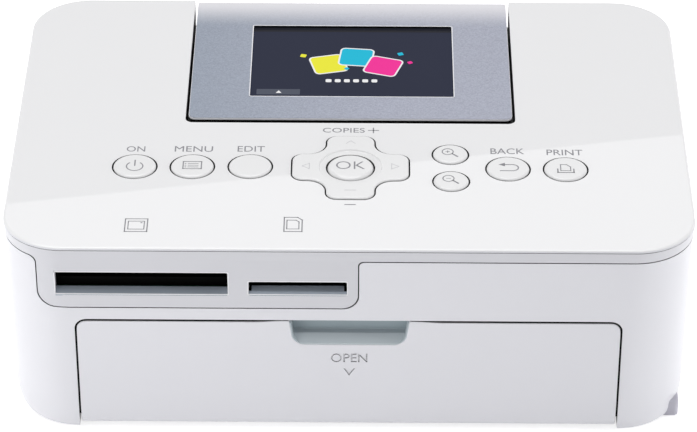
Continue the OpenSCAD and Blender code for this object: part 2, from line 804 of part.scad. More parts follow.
module chassis_left() color("silver")
    union() {
        difference() {
            side_plate(left_in - plate_t);
            rod(take_up_c, 2.5 + fit_gap, left_in - plate_t - 1, left_in + 1);
        }
        rod(idler_c, 2, feed_x, left_in - plate_t + 0.1);
        for (c = concat(post_places(motor_c, feed_motor_r, feed_motor_tilt),
                post_places(ribbon_motor_c, ribbon_motor_r, 0)))
            rod(c, 1.4, motor_x1, left_in - plate_t + 0.1);
    }

// The cassette passes through a window in the right side plate.
module chassis_right() color("silver")
    difference() {
        side_plate(right_in);
        along_x(right_in - 1, right_in + plate_t + 1) {
            for (c = [supply_c, take_up_c]) translate(c) circle(housing_r + 0.6);
            rounded(supply_c[0], take_up_c[0], supply_c[1] - 3, supply_c[1] + 8);
        }
    }

module chassis_floor() color("silver")
    difference() {
        slab(left_in, right_in, plate_y0, plate_y1, floor_z, floor_z + 1.2);
        slab(-40, 40, -12, 2, 0, 10, 3);
    }

// Roller between the plates with a shaft through both bores.
module roller(c, r, left_end, right_end, x0, x1) {
    rod(c, r, x0, x1);
    rod(c, shaft_r, left_end, right_end);
}

plate_out_l = left_in - plate_t;
plate_out_r = right_in + plate_t;

module pickup_roller() color("dimgray") {
    for (x = [-24, 12]) rod(pickup_c, pickup_r, x, x + 12);
    rod(pickup_c, shaft_r, feed_x, plate_out_r + 1);
}

module platen_roller() color("dimgray")
    roller(platen_c, platen_r, plate_out_l - 0.4, plate_out_r + 1, -53, 53);

module capstan_roller() color("lightgray")
    roller(capstan_c, capstan_r, feed_x, plate_out_r + 1, -55, 53);

module pinch_roller() color("gray")
    roller(pinch_c, pinch_r, plate_out_l - 0.4, plate_out_r + 1, -52, 52);

module thermal_head() color("tan")
    slab(-head_w / 2, head_w / 2, head_y - 3.4, head_y + 3.4, head_tip, head_tip + 1.4);

// Heat sink of the head with the arm plate that carries it.
module head_carrier() color("silver") {
    slab(-head_w / 2, head_w / 2, head_y - 3, head_y + 3, head_tip + 1.4, 44.5);
    slab(-head_w / 2, head_w / 2, head_y - 3, head_c[0] - 2.6, 44, 45.6);
    for (s = [-1, 1]) difference() {
        x = s * (head_w / 2 - 1.5);
        union() {
            rod(head_c, 3.4, x - 1.5, x + 1.5);
            slab(x - 1.5, x + 1.5, head_c[0] - 8, head_c[0] - 2.5, 43.4, 47);
        }
        rod(head_c, 2 + fit_gap, x - 3, x + 3);
    }
}

module head_shaft() color("gray")
    rod(head_c, 2, plate_out_l + 0.2, plate_out_r + 0.5);

// Motor body with its mounting ears; the shaft belongs to the pinion.
module motor(c, r, tilt) {
    difference() {
        union() {
            rod(c, r, motor_x0, motor_x1);
            along_x(motor_x1 - 1, motor_x1) translate(c) rotate(tilt)
                rounded(-r - 4.4, r + 4.4, -3.5, 3.5, 3.4);
        }
        rod(c, 1 + fit_gap, motor_x0 + 4, motor_x1 + 1);
    }
}

module feed_motor() color("darkgray") motor(motor_c, feed_motor_r, feed_motor_tilt);
module ribbon_motor() color("darkgray") motor(ribbon_motor_c, ribbon_motor_r, 0);

module motor_pinion() color("goldenrod") {
    gear(motor_c, pinion_n, feed_x, feed_x + gear_t, 0, 0.9);
    rod(motor_c, 1, motor_x1 - 6, feed_x + gear_t);
}

module ribbon_pinion() color("goldenrod") {
    gear(ribbon_motor_c, pinion_n, ribbon_x, ribbon_x + gear_t, 0, 0.9);
    rod(ribbon_motor_c, 1, motor_x1 - 6, ribbon_x + gear_t);
}

module idler_gear() color("ivory")
    gear(idler_c, idler_n, feed_x, feed_x + gear_t, idler_phase, 2 + fit_gap);

module capstan_gear() color("ivory")
    gear(capstan_c, roller_gear_n, feed_x, feed_x + gear_t, capstan_phase, shaft_r);

module pickup_gear() color("ivory")
    gear(pickup_c, roller_gear_n, feed_x, feed_x + gear_t, pickup_phase, shaft_r);

// Ribbon drive gear and the hub that turns the take-up spool.
module ribbon_gear() color("ivory") {
    gear(take_up_c, ribbon_n, ribbon_x, ribbon_x + gear_t, ribbon_phase, 1);
    rod(take_up_c, 2.5, ribbon_x, cassette_x0 - 0.6);
}

// ---------- ink cassette ----------

module housing_profile(c, gap_dir) {
    difference() {
        translate(c) circle(housing_r);
        translate(c) circle(housing_r - housing_t);
        translate(c + [min(0, gap_dir * 7), -housing_r]) square([7, 6]);
    }
}

module ink_cassette() color("dimgray") {
    for (g = [[supply_c, 1], [take_up_c, -1]])
        along_x(cassette_x0 + 2, right_in + plate_t + 1) housing_profile(g[0], g[1]);
    // End frames; the right one is the finger grip.
    difference() {
        along_x(cassette_x0, cassette_x0 + 2) union() {
            for (c = [supply_c, take_up_c]) translate(c) circle(housing_r);
            rounded(supply_c[0], take_up_c[0], supply_c[1] - 2, supply_c[1] + 7);
        }
        for (c = [supply_c, take_up_c]) rod(c, 3 + fit_gap, cassette_x0 - 1, cassette_x0 + 3);
    }
    along_x(right_in + plate_t + 1, cassette_x1) difference() {
        union() {
            for (c = [supply_c, take_up_c]) translate(c) circle(housing_r);
            rounded(supply_c[0], take_up_c[0], supply_c[1] - 5, supply_c[1] + 9);
        }
        for (c = [supply_c, take_up_c]) translate(c) circle(3 + fit_gap);
    }
}

module spool(c) {
    rod(c, spool_r, cassette_x0 + 6, right_in - 4);
    rod(c, 3, cassette_x0 + 0.4, right_in + plate_t + 9);
}

module supply_spool() color("goldenrod") spool(supply_c);
module take_up_spool() color("dimgray") spool(take_up_c);

// Ribbon between the spools, under the thermal head.
module ribbon_film() color("gold") {
    film_t = 0.25;
    y0 = supply_c[0] + 4.5;
    y1 = take_up_c[0] - 4.5;
    z = supply_c[1] - spool_r - 0.6;
    along_x(-50, 50) polygon([
        [y0, z], [head_y - 6, film_z], [head_y + 6.5, film_z], [y1, z],
        [y1, z + film_t], [head_y + 6.3, film_z + film_t],
        [head_y - 5.8, film_z + film_t], [y0, z + film_t]]);
}

module eject_lever() color("steelblue")
    translate([lever_c[0], lever_c[1], lever_z]) difference() {
        union() {
            cylinder(h = 6, r = 3.4);
            slab(0, 15, -2, 1, 1, 5);
            slab(12, 15.5, -4, 1, 0, 6, 1);
        }
        translate([0, 0, -1]) cylinder(h = 10, r = lever_pin_r + fit_gap);
    }

// ---------- fan ----------

module fan_frame() color("black") {
    h = fan_size / 2;
    along_y(fan_y, fan_y + fan_t) difference() {
        rounded(fan_c[0] - h, fan_c[0] + h, fan_c[1] - h, fan_c[1] + h, 1.5);
        translate(fan_c) circle(h - 1);
    }
    along_y(fan_y, fan_y + 0.8) translate(fan_c) {
        circle(5);
        for (a = [45, 135]) rotate(a) square([fan_size, 1.6], center = true);
    }
    along_y(fan_y, fan_y + 5) translate(fan_c) circle(0.9);
}

module fan_impeller() color("dimgray")
    translate([0, fan_y + 1.2, 0]) difference() {
        along_y(0, 5.2) {
            translate(fan_c) circle(4.8);
            for (i = [0:6]) translate(fan_c) rotate(i * 360 / 7) translate([4, -0.4]) square([6.9, 0.8]);
        }
        translate([fan_c[0], 4.4, fan_c[1]]) rotate([90, 0, 0]) cylinder(h = 10, r = 0.9 + fit_gap);
    }

base_case();
top_cover();
feet();
case_screws();
paper_door();
door_liner();
cassette_bay();
ink_door();
display_bezel();
display_window();
lcd_module();
display_back();
display_hinge_pins();
display_well();
power_button();
menu_button();
edit_button();
zoom_in_button();
zoom_out_button();
back_button();
print_button();
nav_pad();
nav_gimbal();
ok_button();
key_mat();
key_board();
dome_switches();
card_guide();
card_connector_large();
card_connector_small();
card_board();
main_board();
board_components();
dc_inlet();
usb_port();
chassis_left();
chassis_right();
chassis_floor();
pickup_roller();
platen_roller();
capstan_roller();
pinch_roller();
thermal_head();
head_carrier();
head_shaft();
feed_motor();
motor_pinion();
idler_gear();
capstan_gear();
pickup_gear();
ribbon_motor();
ribbon_pinion();
ribbon_gear();
ink_cassette();
supply_spool();
take_up_spool();
ribbon_film();
eject_lever();
fan_frame();
fan_impeller();
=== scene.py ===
"""Looks of a compact photo printer: shells, doors, keys, display, card slots and finishes.

Sizes are in millimetres. Each finished piece is scaled to metres once, in place().
X runs to the right, Y to the rear, Z up, with the origin on the table under the middle.
"""

import json
from math import atan2, cos, pi, radians, sin, sqrt

import bmesh
import bpy
from mathutils import Matrix, Vector


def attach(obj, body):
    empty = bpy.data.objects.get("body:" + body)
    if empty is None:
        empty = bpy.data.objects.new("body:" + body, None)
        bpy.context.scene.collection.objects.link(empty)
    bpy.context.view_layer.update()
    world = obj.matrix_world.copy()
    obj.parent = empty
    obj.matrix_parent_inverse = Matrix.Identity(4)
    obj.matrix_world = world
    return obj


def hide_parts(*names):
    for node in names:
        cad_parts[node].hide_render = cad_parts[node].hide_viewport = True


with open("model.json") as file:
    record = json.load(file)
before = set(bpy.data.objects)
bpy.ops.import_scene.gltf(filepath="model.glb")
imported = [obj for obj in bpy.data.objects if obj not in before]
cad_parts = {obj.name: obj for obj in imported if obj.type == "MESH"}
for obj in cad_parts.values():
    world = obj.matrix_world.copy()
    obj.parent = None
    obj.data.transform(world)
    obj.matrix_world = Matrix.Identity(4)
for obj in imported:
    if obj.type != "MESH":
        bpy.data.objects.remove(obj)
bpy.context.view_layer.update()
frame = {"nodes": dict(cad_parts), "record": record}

MM = 0.001
SAME = 0.001                # closer heights than this count as equal
WELD = 0.002                # closer corners than this are merged after a cut
LEVEL = 0.9999              # faces whose normal rises more than this are level
SHARP_ANGLE = 35            # degrees; steeper edges are rounded
SMOOTH_BELOW = 32           # degrees; flatter edges are shaded smooth
THROUGH = (50, 70)          # heights of a cut through the top cover

# Case
SIDE_X = 89.0
FRONT_Y = -63.5
REAR_Y = 63.5
TOP_Z = 60.5
TOP_EDGE = 0.65             # rounding of the rim of the top
BASE_Z = 1.3
SEAM_Z = 56.2               # middle of the parting line
SEAM_GAP = 0.3
SKIRT_Z = 8.0               # the foot curve of the walls starts here
LEAN = 0.0716               # lean of the front wall, per mm of height
FRONT_IN = 0.77             # front wall inset at the parting line
SIDE_IN = 0.3
CORNER_R = 16.0
FOOT_SIDE = 0.44            # wall insets where the foot curve starts
FOOT_FRONT = 4.22
FOOT_R = 18.75              # plan radius of the corners there
FOOT_TUCK = (2.31, 0.73, 3.6)  # what the foot curve adds to them at the base
FOOT_STEPS = 7
RIM_STEPS = 5
WALL = 2.2
SKIN = 1.3                  # edges this near the outer faces are rounded
CORNER_STEPS = 20
LIP = (2.6, 3.2, 13.4)      # side inset, front inset, corner radius
LIP_T = 1.0
SKID = (82.2, 87.3, -51.8, -44.5)
SKID_Z = (0.4, 5.2)
REAR_CUT = (-70, -57)       # reach of the cuts through the rear wall
FRONT_CUT = (52.8, 70)      # reach of the cuts for the paper door and the ink door
INK_CUT = (81, 95)
INK_DOOR_X = (86.3, 92)

# Openings in the rear wall: x0, x1, z0, z1
PAPER_SLOT = (-54, 54, 9.5, 16.5)
DATA_PORT = (-70.4, -61.6, 23.9, 32.1)
POWER_INLET = (-66, 12.5, 4.2)  # x, z, radius
FAN_SLOT_X = (50.5, 70.5)
FAN_SLOT_Z = 31.5           # middle of the seven slots
FAN_SLOT_STEP = 3
FAN_SLOT_HALF = 0.8

# Tongue of the top cover around the card slots
TONGUE_X = (-79.7, 2.4)
TONGUE_Z = 41.2
TONGUE_R = 4.2
LARGE_SLOT = (-75.0, -30.9, 45.6, 52.5)
SMALL_SLOT = (-25.6, -0.4, 45.7, 49.7)

# Paper door
DOOR_W = 140.2
DOOR_TOP = 36.5
DOOR_AXIS_Z = 4.2
DOOR_BARREL_R = 2.5
DOOR_T = 2.2
DOOR_GAP = 0.75
DOOR_SIDE_GAP = 0.55
DOOR_CORNER_R = 2.4
SHADOW_STRIP_BITE = 0.06            # the black strip of painted shadow enters its neighbours this far
SHADOW_STRIP_DEPTH = (-1.3, -0.4)   # behind the face of the door
ENGRAVED = 0.28             # depth of the word and the arrow
LINER_HALF = 59
NOTCH_X = 0.2               # middle of the finger notch
NOTCH_HALF = 14.5
NOTCH_TOP_HALF = 15.9
NOTCH_Z = 29.1
NOTCH_RISE = 0.4            # the door's top edge rises beside the notch

# Ink door
INK_Y = 13.0
INK_HALF = 30.8
INK_BOTTOM = 8.35
INK_TOP = 49.7
INK_GAP = 0.35

# Display
PANEL_HALF = 43.4
PANEL_BOTTOM = 54.6
PANEL_TIP = 52.9            # lower end of its rear face
PANEL_CAP = 0.14            # pale rim below it, a painted highlight
PANEL_RIM = 0.5             # bright rim below it
FRAME_IN = 0.35             # the dark frame stands this far inside the cap
FRAME_WALL = 1.6
CROWN_Y = 50.8              # the top starts to fall here
CROWN_R = 200.0
WELL_HALF = 44.2
WELL_FRONT = -2.4
WELL_FLOOR = 43.6           # height of its rear opening's lower edge
WINDOW = (-27.3, 27.9, 11.35, 49.25)
SCREEN_Z = 59.75            # surface of the lit screen
TILE_T = 0.01               # thickness of the patches on it
CARD_SIZE = 8.6

# Keys: centre and diameter
KEY_D, ZOOM_D = 11.35, 9.3
KEYS = {
    "power": (-56.4, -24.6, KEY_D), "menu": (-41.3, -24.5, KEY_D), "edit": (-26.1, -24.3, KEY_D),
    "zoom_in": (26.5, -17.9, ZOOM_D), "zoom_out": (26.5, -31.0, ZOOM_D),
    "back": (41.5, -24.8, KEY_D), "print": (56.6, -24.9, KEY_D)}
KEY_TOP = 60.9
KEY_FOOT, PAD_FOOT, OK_FOOT = 57.4, 57.2, 57
KEY_ROUND, PAD_ROUND, OK_ROUND = 0.8, 0.6, 1.3
FLANGE_Z = (57.3, 58.0)     # stops the round keys under the cover
FLANGE_OUT = 0.8
KEY_GAP = 0.35
KEY_DROP = 0.1              # the holes sit this much nearer the front
PAD = (0.2, -24.5)
PAD_REACH = 15.3
LOBE_HALF = 6.3
LOBE_R = 3.0
LOBE_FILLET = 5.0
OK_R = 6.2
OK_GAP = 0.28
DISH_R = 8.3
ICON_DROP = 0.5             # the marks sit this much nearer the front than the keys
ARROW_REACH = 11.6          # from the middle of the pad to its marks
INK_T = 0.015               # thickness of printed marks


def front_y(z):
    """Y of the outer front wall at height z."""
    return FRONT_Y + FRONT_IN + LEAN * (SEAM_Z - z)


# ---- mesh tools ----

FACE_FRONT = Matrix(((1, 0, 0, 0), (0, 0, -1, 0), (0, 1, 0, 0), (0, 0, 0, 1)))
FACE_SIDE = Matrix(((0, 0, 1, 0), (1, 0, 0, 0), (0, 1, 0, 0), (0, 0, 0, 1)))


def round_corners(bm, verts, radius, steps):
    bmesh.ops.bevel(bm, geom=verts, offset=radius, offset_type="OFFSET", segments=steps,
                    profile=0.5, affect="VERTICES", clamp_overlap=False, material=-1)


def outline(points, radii=0.0, steps=8):
    """Flat face through the points, with each corner rounded by its own radius."""
    bm = bmesh.new()
    corners = [bm.verts.new((x, y, 0)) for x, y in points]
    bm.faces.new(corners)
    if not isinstance(radii, (list, tuple)):
        radii = [radii] * len(points)
    for radius in sorted(set(radii) - {0}):
        round_corners(bm, [v for v, r in zip(corners, radii) if r == radius], radius, steps)
    return bm


def rectangle(x0, x1, y0, y1, radius=0.0, steps=8):
    return outline([(x0, y0), (x1, y0), (x1, y1), (x0, y1)], radius, steps)


def disc(x, y, radius, steps):
    bm = bmesh.new()
    bmesh.ops.create_circle(bm, cap_ends=True, radius=radius, segments=steps)
    return moved(bm, x, y, 0)


def thicken(bm, low, high):
    """Extrudes a flat outline from low to high along its own third axis."""
    bmesh.ops.recalc_face_normals(bm, faces=bm.faces[:])
    if sum(f.normal.z for f in bm.faces) > 0:
        bmesh.ops.reverse_faces(bm, faces=bm.faces[:])
    moved(bm, 0, 0, low)
    grown = bmesh.ops.extrude_face_region(bm, geom=bm.faces[:], use_keep_orig=True)
    top = [g for g in grown["geom"] if isinstance(g, bmesh.types.BMVert)]
    bmesh.ops.translate(bm, vec=(0, 0, high - low), verts=top)
    bmesh.ops.recalc_face_normals(bm, faces=bm.faces[:])
    return bm


def turned(bm, matrix):
    bmesh.ops.transform(bm, matrix=matrix, verts=bm.verts[:])
    return bm


def posed(flat, x, y, turn):
    """Turned in its own plane by degrees, then moved."""
    return moved(turned(flat, Matrix.Rotation(radians(turn), 4, "Z")), x, y, 0)


def from_front(flat, low, high):
    """Solid from an outline drawn as (x, height); low and high run towards the front."""
    return turned(thicken(flat, low, high), FACE_FRONT)


def from_side(flat, low, high):
    """Solid from an outline drawn as (y, height); low and high run along X."""
    return turned(thicken(flat, low, high), FACE_SIDE)


def through_top(flat):
    """Cutter that runs down through the top cover."""
    return thicken(flat, *THROUGH)


def moved(bm, x, y, z):
    bmesh.ops.translate(bm, vec=(x, y, z), verts=bm.verts[:])
    return bm


def stack(levels):
    """Closed solid through plan sections (z, side inset, front inset, plan radius)."""
    bm = bmesh.new()
    loops = []
    for z, side, front, radius in levels:
        made = bmesh.ops.create_grid(bm, x_segments=1, y_segments=1, size=0.5)["verts"]
        x, y0, y1 = SIDE_X - side, FRONT_Y + front, REAR_Y - side
        bmesh.ops.scale(bm, vec=(2 * x, y1 - y0, 1), verts=made)
        bmesh.ops.translate(bm, vec=(0, (y0 + y1) / 2, z), verts=made)
        round_corners(bm, made, radius, CORNER_STEPS)
        loops.append([f for f in bm.faces if all(abs(v.co.z - z) < SAME for v in f.verts)][-1])
    for lower, upper in zip(loops, loops[1:]):
        bmesh.ops.bridge_loops(bm, edges=list(lower.edges) + list(upper.edges))
    bmesh.ops.delete(bm, geom=loops[1:-1], context="FACES_ONLY")
    bmesh.ops.recalc_face_normals(bm, faces=bm.faces[:])
    return bm


def soften(bm, width, segments=3, keep=None, angle=SHARP_ANGLE):
    """Rounds the sharp edges, or those of them for which keep(edge) is true."""
    edges = [e for e in bm.edges if len(e.link_faces) == 2
             and e.calc_face_angle(0) > radians(angle) and (keep is None or keep(e))]
    bmesh.ops.bevel(bm, geom=edges, offset=width, offset_type="OFFSET", segments=segments,
                    profile=0.5, affect="EDGES", clamp_overlap=True, material=-1)
    return bm


def above(height):
    """Test for edges that lie wholly over the given height."""
    return lambda edge: all(v.co.z > height for v in edge.verts)


def as_mesh(bm, name="part"):
    mesh = bpy.data.meshes.new(name)
    bm.to_mesh(mesh)
    bm.free()
    return mesh


def joined(*parts):
    """One bmesh that holds all the given ones."""
    whole = bmesh.new()
    for mesh in map(as_mesh, parts):
        whole.from_mesh(mesh)
        bpy.data.meshes.remove(mesh)
    return whole


def linked(name, data):
    thing = bpy.data.objects.new(name, data)
    bpy.context.scene.collection.objects.link(thing)
    return thing


def loose_object(bm, name="tool"):
    return linked(name, as_mesh(bm, name))


def evaluated(thing):
    """The thing's shape with its modifiers, or as letters, in a new bmesh."""
    graph = bpy.context.evaluated_depsgraph_get()
    graph.update()
    bm = bmesh.new()
    bm.from_mesh(thing.evaluated_get(graph).to_mesh())
    return bm


def carve(bm, cutters, operation="DIFFERENCE"):
    """Cuts the closed cutters out of the solid, keeps what they share, or unites them."""
    body = loose_object(bm)
    tools = [loose_object(c) for c in cutters]
    for tool in tools:
        step = body.modifiers.new("carve", "BOOLEAN")
        step.operation = operation
        step.solver = "EXACT"
        step.object = tool
    result = evaluated(body)
    for thing in [body] + tools:
        mesh = thing.data
        bpy.data.objects.remove(thing)
        bpy.data.meshes.remove(mesh)
    bmesh.ops.remove_doubles(result, verts=result.verts[:], dist=WELD)
    bmesh.ops.dissolve_degenerate(result, dist=WELD, edges=result.edges[:])
    return result


def place(bm, name, body, look, replaces=(), weighted=True):
    """Makes the finished piece: metres, smooth shading, finish, the body it rides on."""
    bmesh.ops.scale(bm, vec=(MM, MM, MM), verts=bm.verts[:])
    piece = loose_object(bm, name)
    piece.data.shade_smooth()
    piece.data.set_sharp_from_angle(angle=radians(SMOOTH_BELOW))
    piece.data.materials.clear()
    piece.data.materials.append(look)
    if weighted:
        even = piece.modifiers.new("even shading", "WEIGHTED_NORMAL")
        even.keep_sharp = True
    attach(piece, body)
    if replaces:
        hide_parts(*replaces)
    return piece


# ---- flat marks ----

def line(x0, y0, x1, y1, width):
    """Flat bar between two points, with square ends past them."""
    run = Vector((x1 - x0, y1 - y0))
    bar = rectangle(-width / 2, run.length + width / 2, -width / 2, width / 2)
    return moved(turned(bar, Matrix.Rotation(atan2(run.y, run.x), 4, "Z")), x0, y0, 0)


def path(points, width, closed=False):
    """Flat bars from point to point."""
    ends = points[1:] + points[:1] if closed else points[1:]
    return joined(*[line(*a, *b, width) for a, b in zip(points, ends)])


def frame_line(x0, x1, y0, y1, width, cut=0.0):
    """Outline of a box; cut takes off its upper right corner."""
    corners = [(x0, y0), (x1, y0), (x1, y1 - cut), (x1 - cut, y1), (x0, y1)]
    return path(corners if cut else corners[:2] + [(x1, y1), (x0, y1)], width, True)


def rim_line(x0, x1, y0, y1, width=0.24):
    """Thin frame just outside a box."""
    out = width / 2
    return frame_line(x0 - out, x1 + out, y0 - out, y1 + out, width)


def arc(x, y, radius, width, start=0.0, sweep=360.0, steps=40):
    """Flat band along a circle, with its angles in degrees."""
    bm = bmesh.new()
    ends = [bm.verts.new((radius + side * width / 2, 0, 0)) for side in (-1, 1)]
    edge = bm.edges.new(ends)
    turned(bm, Matrix.Rotation(radians(start), 4, "Z"))
    bmesh.ops.spin(bm, geom=ends + [edge], cent=(0, 0, 0), axis=(0, 0, 1), angle=radians(sweep),
                   steps=steps, use_merge=sweep >= 360)
    return moved(bm, x, y, 0)


def lettering(words, x0, x1, y0, y1, weight=0.0):
    """Flat letters that fill the given box."""
    curve = bpy.data.curves.new("lettering", "FONT")
    curve.body = words
    curve.resolution_u = 4
    curve.offset = weight
    thing = linked("lettering", curve)
    bm = evaluated(thing)
    bpy.data.objects.remove(thing)
    bpy.data.curves.remove(curve)
    bmesh.ops.remove_doubles(bm, verts=bm.verts[:], dist=0.0005)
    xs, ys = [v.co.x for v in bm.verts], [v.co.y for v in bm.verts]
    moved(bm, -min(xs), -min(ys), 0)
    size = ((x1 - x0) / (max(xs) - min(xs)), (y1 - y0) / (max(ys) - min(ys)), 1)
    bmesh.ops.scale(bm, vec=size, verts=bm.verts[:])
    return moved(bm, x0, y0, 0)


def printed(marks, name, body, ink, top):
    """Thin layer of ink on a face at height top."""
    place(thicken(joined(*marks), top, top + INK_T), name, body, ink, weighted=False)


# ---- finishes ----

def new_group(name, inputs, outputs=("Colour", "Roughness", "Height")):
    """Shader group with named inputs, each with its default, and named outputs.

    Returns it with its input values, the sockets to fill and the place on the object.
    """
    group = bpy.data.node_groups.new(name, "ShaderNodeTree")
    for label, value in inputs.items():
        kind = {3: "Vector", 4: "Color"}[len(value)] if isinstance(value, tuple) else "Float"
        socket = group.interface.new_socket(label, in_out="INPUT", socket_type="NodeSocket" + kind)
        socket.default_value = value
    for label in outputs:
        kind = "Color" if label == "Colour" else "Float"
        group.interface.new_socket(label, in_out="OUTPUT", socket_type="NodeSocket" + kind)
    given = group.nodes.new("NodeGroupInput").outputs
    wanted = group.nodes.new("NodeGroupOutput").inputs
    return group, given, wanted, node(group, "TexCoord").outputs["Object"]


def feed(socket, value):
    """Links another socket in, or sets a fixed value."""
    if isinstance(value, bpy.types.NodeSocket):
        socket.id_data.links.new(value, socket)
    else:
        socket.default_value = value


def feed_all(sockets, *values):
    for socket, value in zip(sockets, values):
        feed(socket, value)


def node(tree, kind, **settings):
    """New node; settings that start with in_ go to its inputs."""
    made = tree.nodes.new("ShaderNode" + kind)
    for key, value in settings.items():
        if key.startswith("in_"):
            feed(made.inputs[key[3:].replace("_", " ")], value)
        else:
            setattr(made, key, value)
    return made


def maths(operation, *values):
    """Math node on sockets and plain numbers."""
    tree = next(v for v in values if isinstance(v, bpy.types.NodeSocket)).id_data
    made = node(tree, "Math", operation=operation)
    feed_all(made.inputs, *values)
    return made.outputs[0]


def noise(where, **settings):
    return node(where.id_data, "TexNoise", in_Vector=where, **settings).outputs["Fac"]


def soft_step(value, low, high, **settings):
    """Smooth step of value between low and high."""
    made = node(value.id_data, "MapRange", interpolation_type="SMOOTHSTEP", in_Value=value,
                in_From_Min=low, in_From_Max=high, **settings)
    return made.outputs["Result"]


def blend(amount, first, second):
    """Mix of two colours, each a socket or a fixed colour."""
    made = node(amount.id_data, "Mix", data_type="RGBA")
    feed_all([made.inputs[i] for i in (0, 6, 7)], amount, first, second)
    return made.outputs[2]


def shaded(colour, tone):
    """Colour times a brightness."""
    made = node(colour.id_data, "VectorMath", operation="SCALE", in_Vector=colour, in_Scale=tone)
    return made.outputs[0]


def seen_directly(tree):
    """1 where a camera, mirror or see-through ray arrives, 0 for all other light."""
    rays = node(tree, "LightPath").outputs
    return maths("MAXIMUM", rays["Is Camera Ray"],
                 maths("MAXIMUM", rays["Is Glossy Ray"], rays["Is Transmission Ray"]))


DUST_COLOUR = (0.62, 0.6, 0.57, 1)
# near-black colour of the painted shade in narrow gaps
GAP_SHADE_COLOUR = (0.012, 0.012, 0.009, 1)
# pale colour of the painted sheen on the rear of the silver panel
SHEEN_COLOUR = (0.71, 0.7, 0.73, 1)
GLASS_COLOUR = (0.01, 0.01, 0.012, 1)


def moulded_group():
    """Moulded plastic: slow tone drift, fine grain, faint dust on top faces, painted shade in narrow
    gaps and, where asked, on side faces.
    """
    tree, given, wanted, where = new_group(
        "moulded surface",
        {"Colour": (0.8, 0.8, 0.8, 1), "Drift": 0.02, "Rough": 0.35, "Rough Range": 0.05,
         "Grain Scale": 1500.0, "Dust": 0.02, "Gap Shade": 0.0, "Gap Reach": 0.0016,
         "Side Shade": 0.0, "Side Colour": (0.5, 0.5, 0.5, 1)},
        ("Colour", "Roughness", "Height", "Top Face"))
    slow = noise(where, in_Scale=22.0, in_Detail=2.0)
    fine = noise(where, in_Scale=given["Grain Scale"], in_Detail=3.0, in_Roughness=0.6)
    smudge = noise(where, in_Scale=70.0, in_Detail=5.0, in_Roughness=0.65)
    drift = maths("SUBTRACT", maths("MULTIPLY_ADD", slow, given["Drift"], 1.0),
                  maths("MULTIPLY", given["Drift"], 0.5))
    facing = node(tree, "SeparateXYZ", in_Vector=node(tree, "NewGeometry").outputs["Normal"])
    up = maths("MAXIMUM", facing.outputs["Z"], 0.0)
    top = soft_step(up, 0.35, 0.8)
    # Painted shade: faces that don't face up are mixed towards the side colour.
    side = maths("MULTIPLY", maths("SUBTRACT", 1.0, top), given["Side Shade"])
    side_shaded = blend(side, given["Colour"], given["Side Colour"])
    speck = maths("SMOOTH_MAX", maths("SUBTRACT", smudge, 0.55), 0.0, 0.02)
    dust = maths("MULTIPLY", maths("MULTIPLY", speck, up), given["Dust"])
    dusty = blend(dust, shaded(side_shaded, drift), DUST_COLOUR)
    # Painted shade: narrow gaps, found by ambient occlusion, are mixed towards a near-black colour.
    closed = node(tree, "AmbientOcclusion", samples=8, in_Distance=given["Gap Reach"])
    narrow = soft_step(closed.outputs["AO"], 0.2, 0.56, in_To_Min=1.0, in_To_Max=0.0)
    shadow = maths("MULTIPLY", narrow, given["Gap Shade"])
    rough = maths("MULTIPLY_ADD", maths("SUBTRACT", smudge, 0.5), given["Rough Range"],
                  given["Rough"])
    feed_all(wanted, blend(shadow, dusty, GAP_SHADE_COLOUR), rough, fine, top)
    return tree


def brushed_group():
    """Metal with fine scratches along one axis."""
    tree, given, wanted, where = new_group(
        "brushed metal",
        {"Colour": (0.6, 0.6, 0.6, 1), "Rough": 0.35, "Stretch": (1, 1, 1), "Stain": 0.15})
    stretched = node(tree, "VectorMath", operation="MULTIPLY")
    feed_all(stretched.inputs, where, given["Stretch"])
    lines = noise(stretched.outputs[0], in_Scale=900.0, in_Detail=3.0)
    cloud = noise(where, in_Scale=90.0, in_Detail=4.0)
    tone = maths("MULTIPLY_ADD", maths("SUBTRACT", cloud, 0.5), given["Stain"], 1.0)
    tone = maths("ADD", tone, maths("MULTIPLY", lines, 0.08))
    rough = maths("MULTIPLY_ADD", lines, 0.2, given["Rough"])
    feed_all(wanted, shaded(given["Colour"], tone), rough, lines)
    return tree


def fleck_group():
    """Silver paint: tiny flakes, each with its own brightness, with painted shade darker towards the
    left and a painted sheen paler towards the rear.
    """
    tree, given, wanted, where = new_group(
        "metallic fleck",
        {"Colour": (0.4, 0.45, 0.5, 1), "Shade Colour": (0.22, 0.255, 0.32, 1), "Contrast": 0.25,
         "Scale": 3400.0, "Sheen From": 0.048, "Sheen To": 0.064})
    flake = node(tree, "TexVoronoi", feature="F1", in_Vector=where, in_Scale=given["Scale"])
    cloud = noise(where, in_Scale=1500.0, in_Detail=3.0, in_Roughness=0.7)
    pick = node(tree, "SeparateColor", in_Color=flake.outputs["Color"])
    both = maths("ADD", pick.outputs[0], maths("MULTIPLY", cloud, 1.2))
    tone = maths("MULTIPLY_ADD", maths("SUBTRACT", both, 1.1), given["Contrast"], 1.0)
    along = node(tree, "SeparateXYZ", in_Vector=where)
    # Painted shade: darker and bluer towards the left of the panel.
    shade_across = soft_step(along.outputs["X"], -0.055, 0.02)
    side_shaded = blend(shade_across, given["Shade Colour"], given["Colour"])
    # Painted sheen: paler towards the rear, standing in for a reflection.
    sheen_mask = soft_step(along.outputs["Y"], given["Sheen From"], given["Sheen To"])
    rough = maths("MULTIPLY_ADD", pick.outputs[1], 0.12, 0.3)
    feed_all(wanted, blend(sheen_mask, shaded(side_shaded, tone), SHEEN_COLOUR), rough, pick.outputs[2])
    return tree


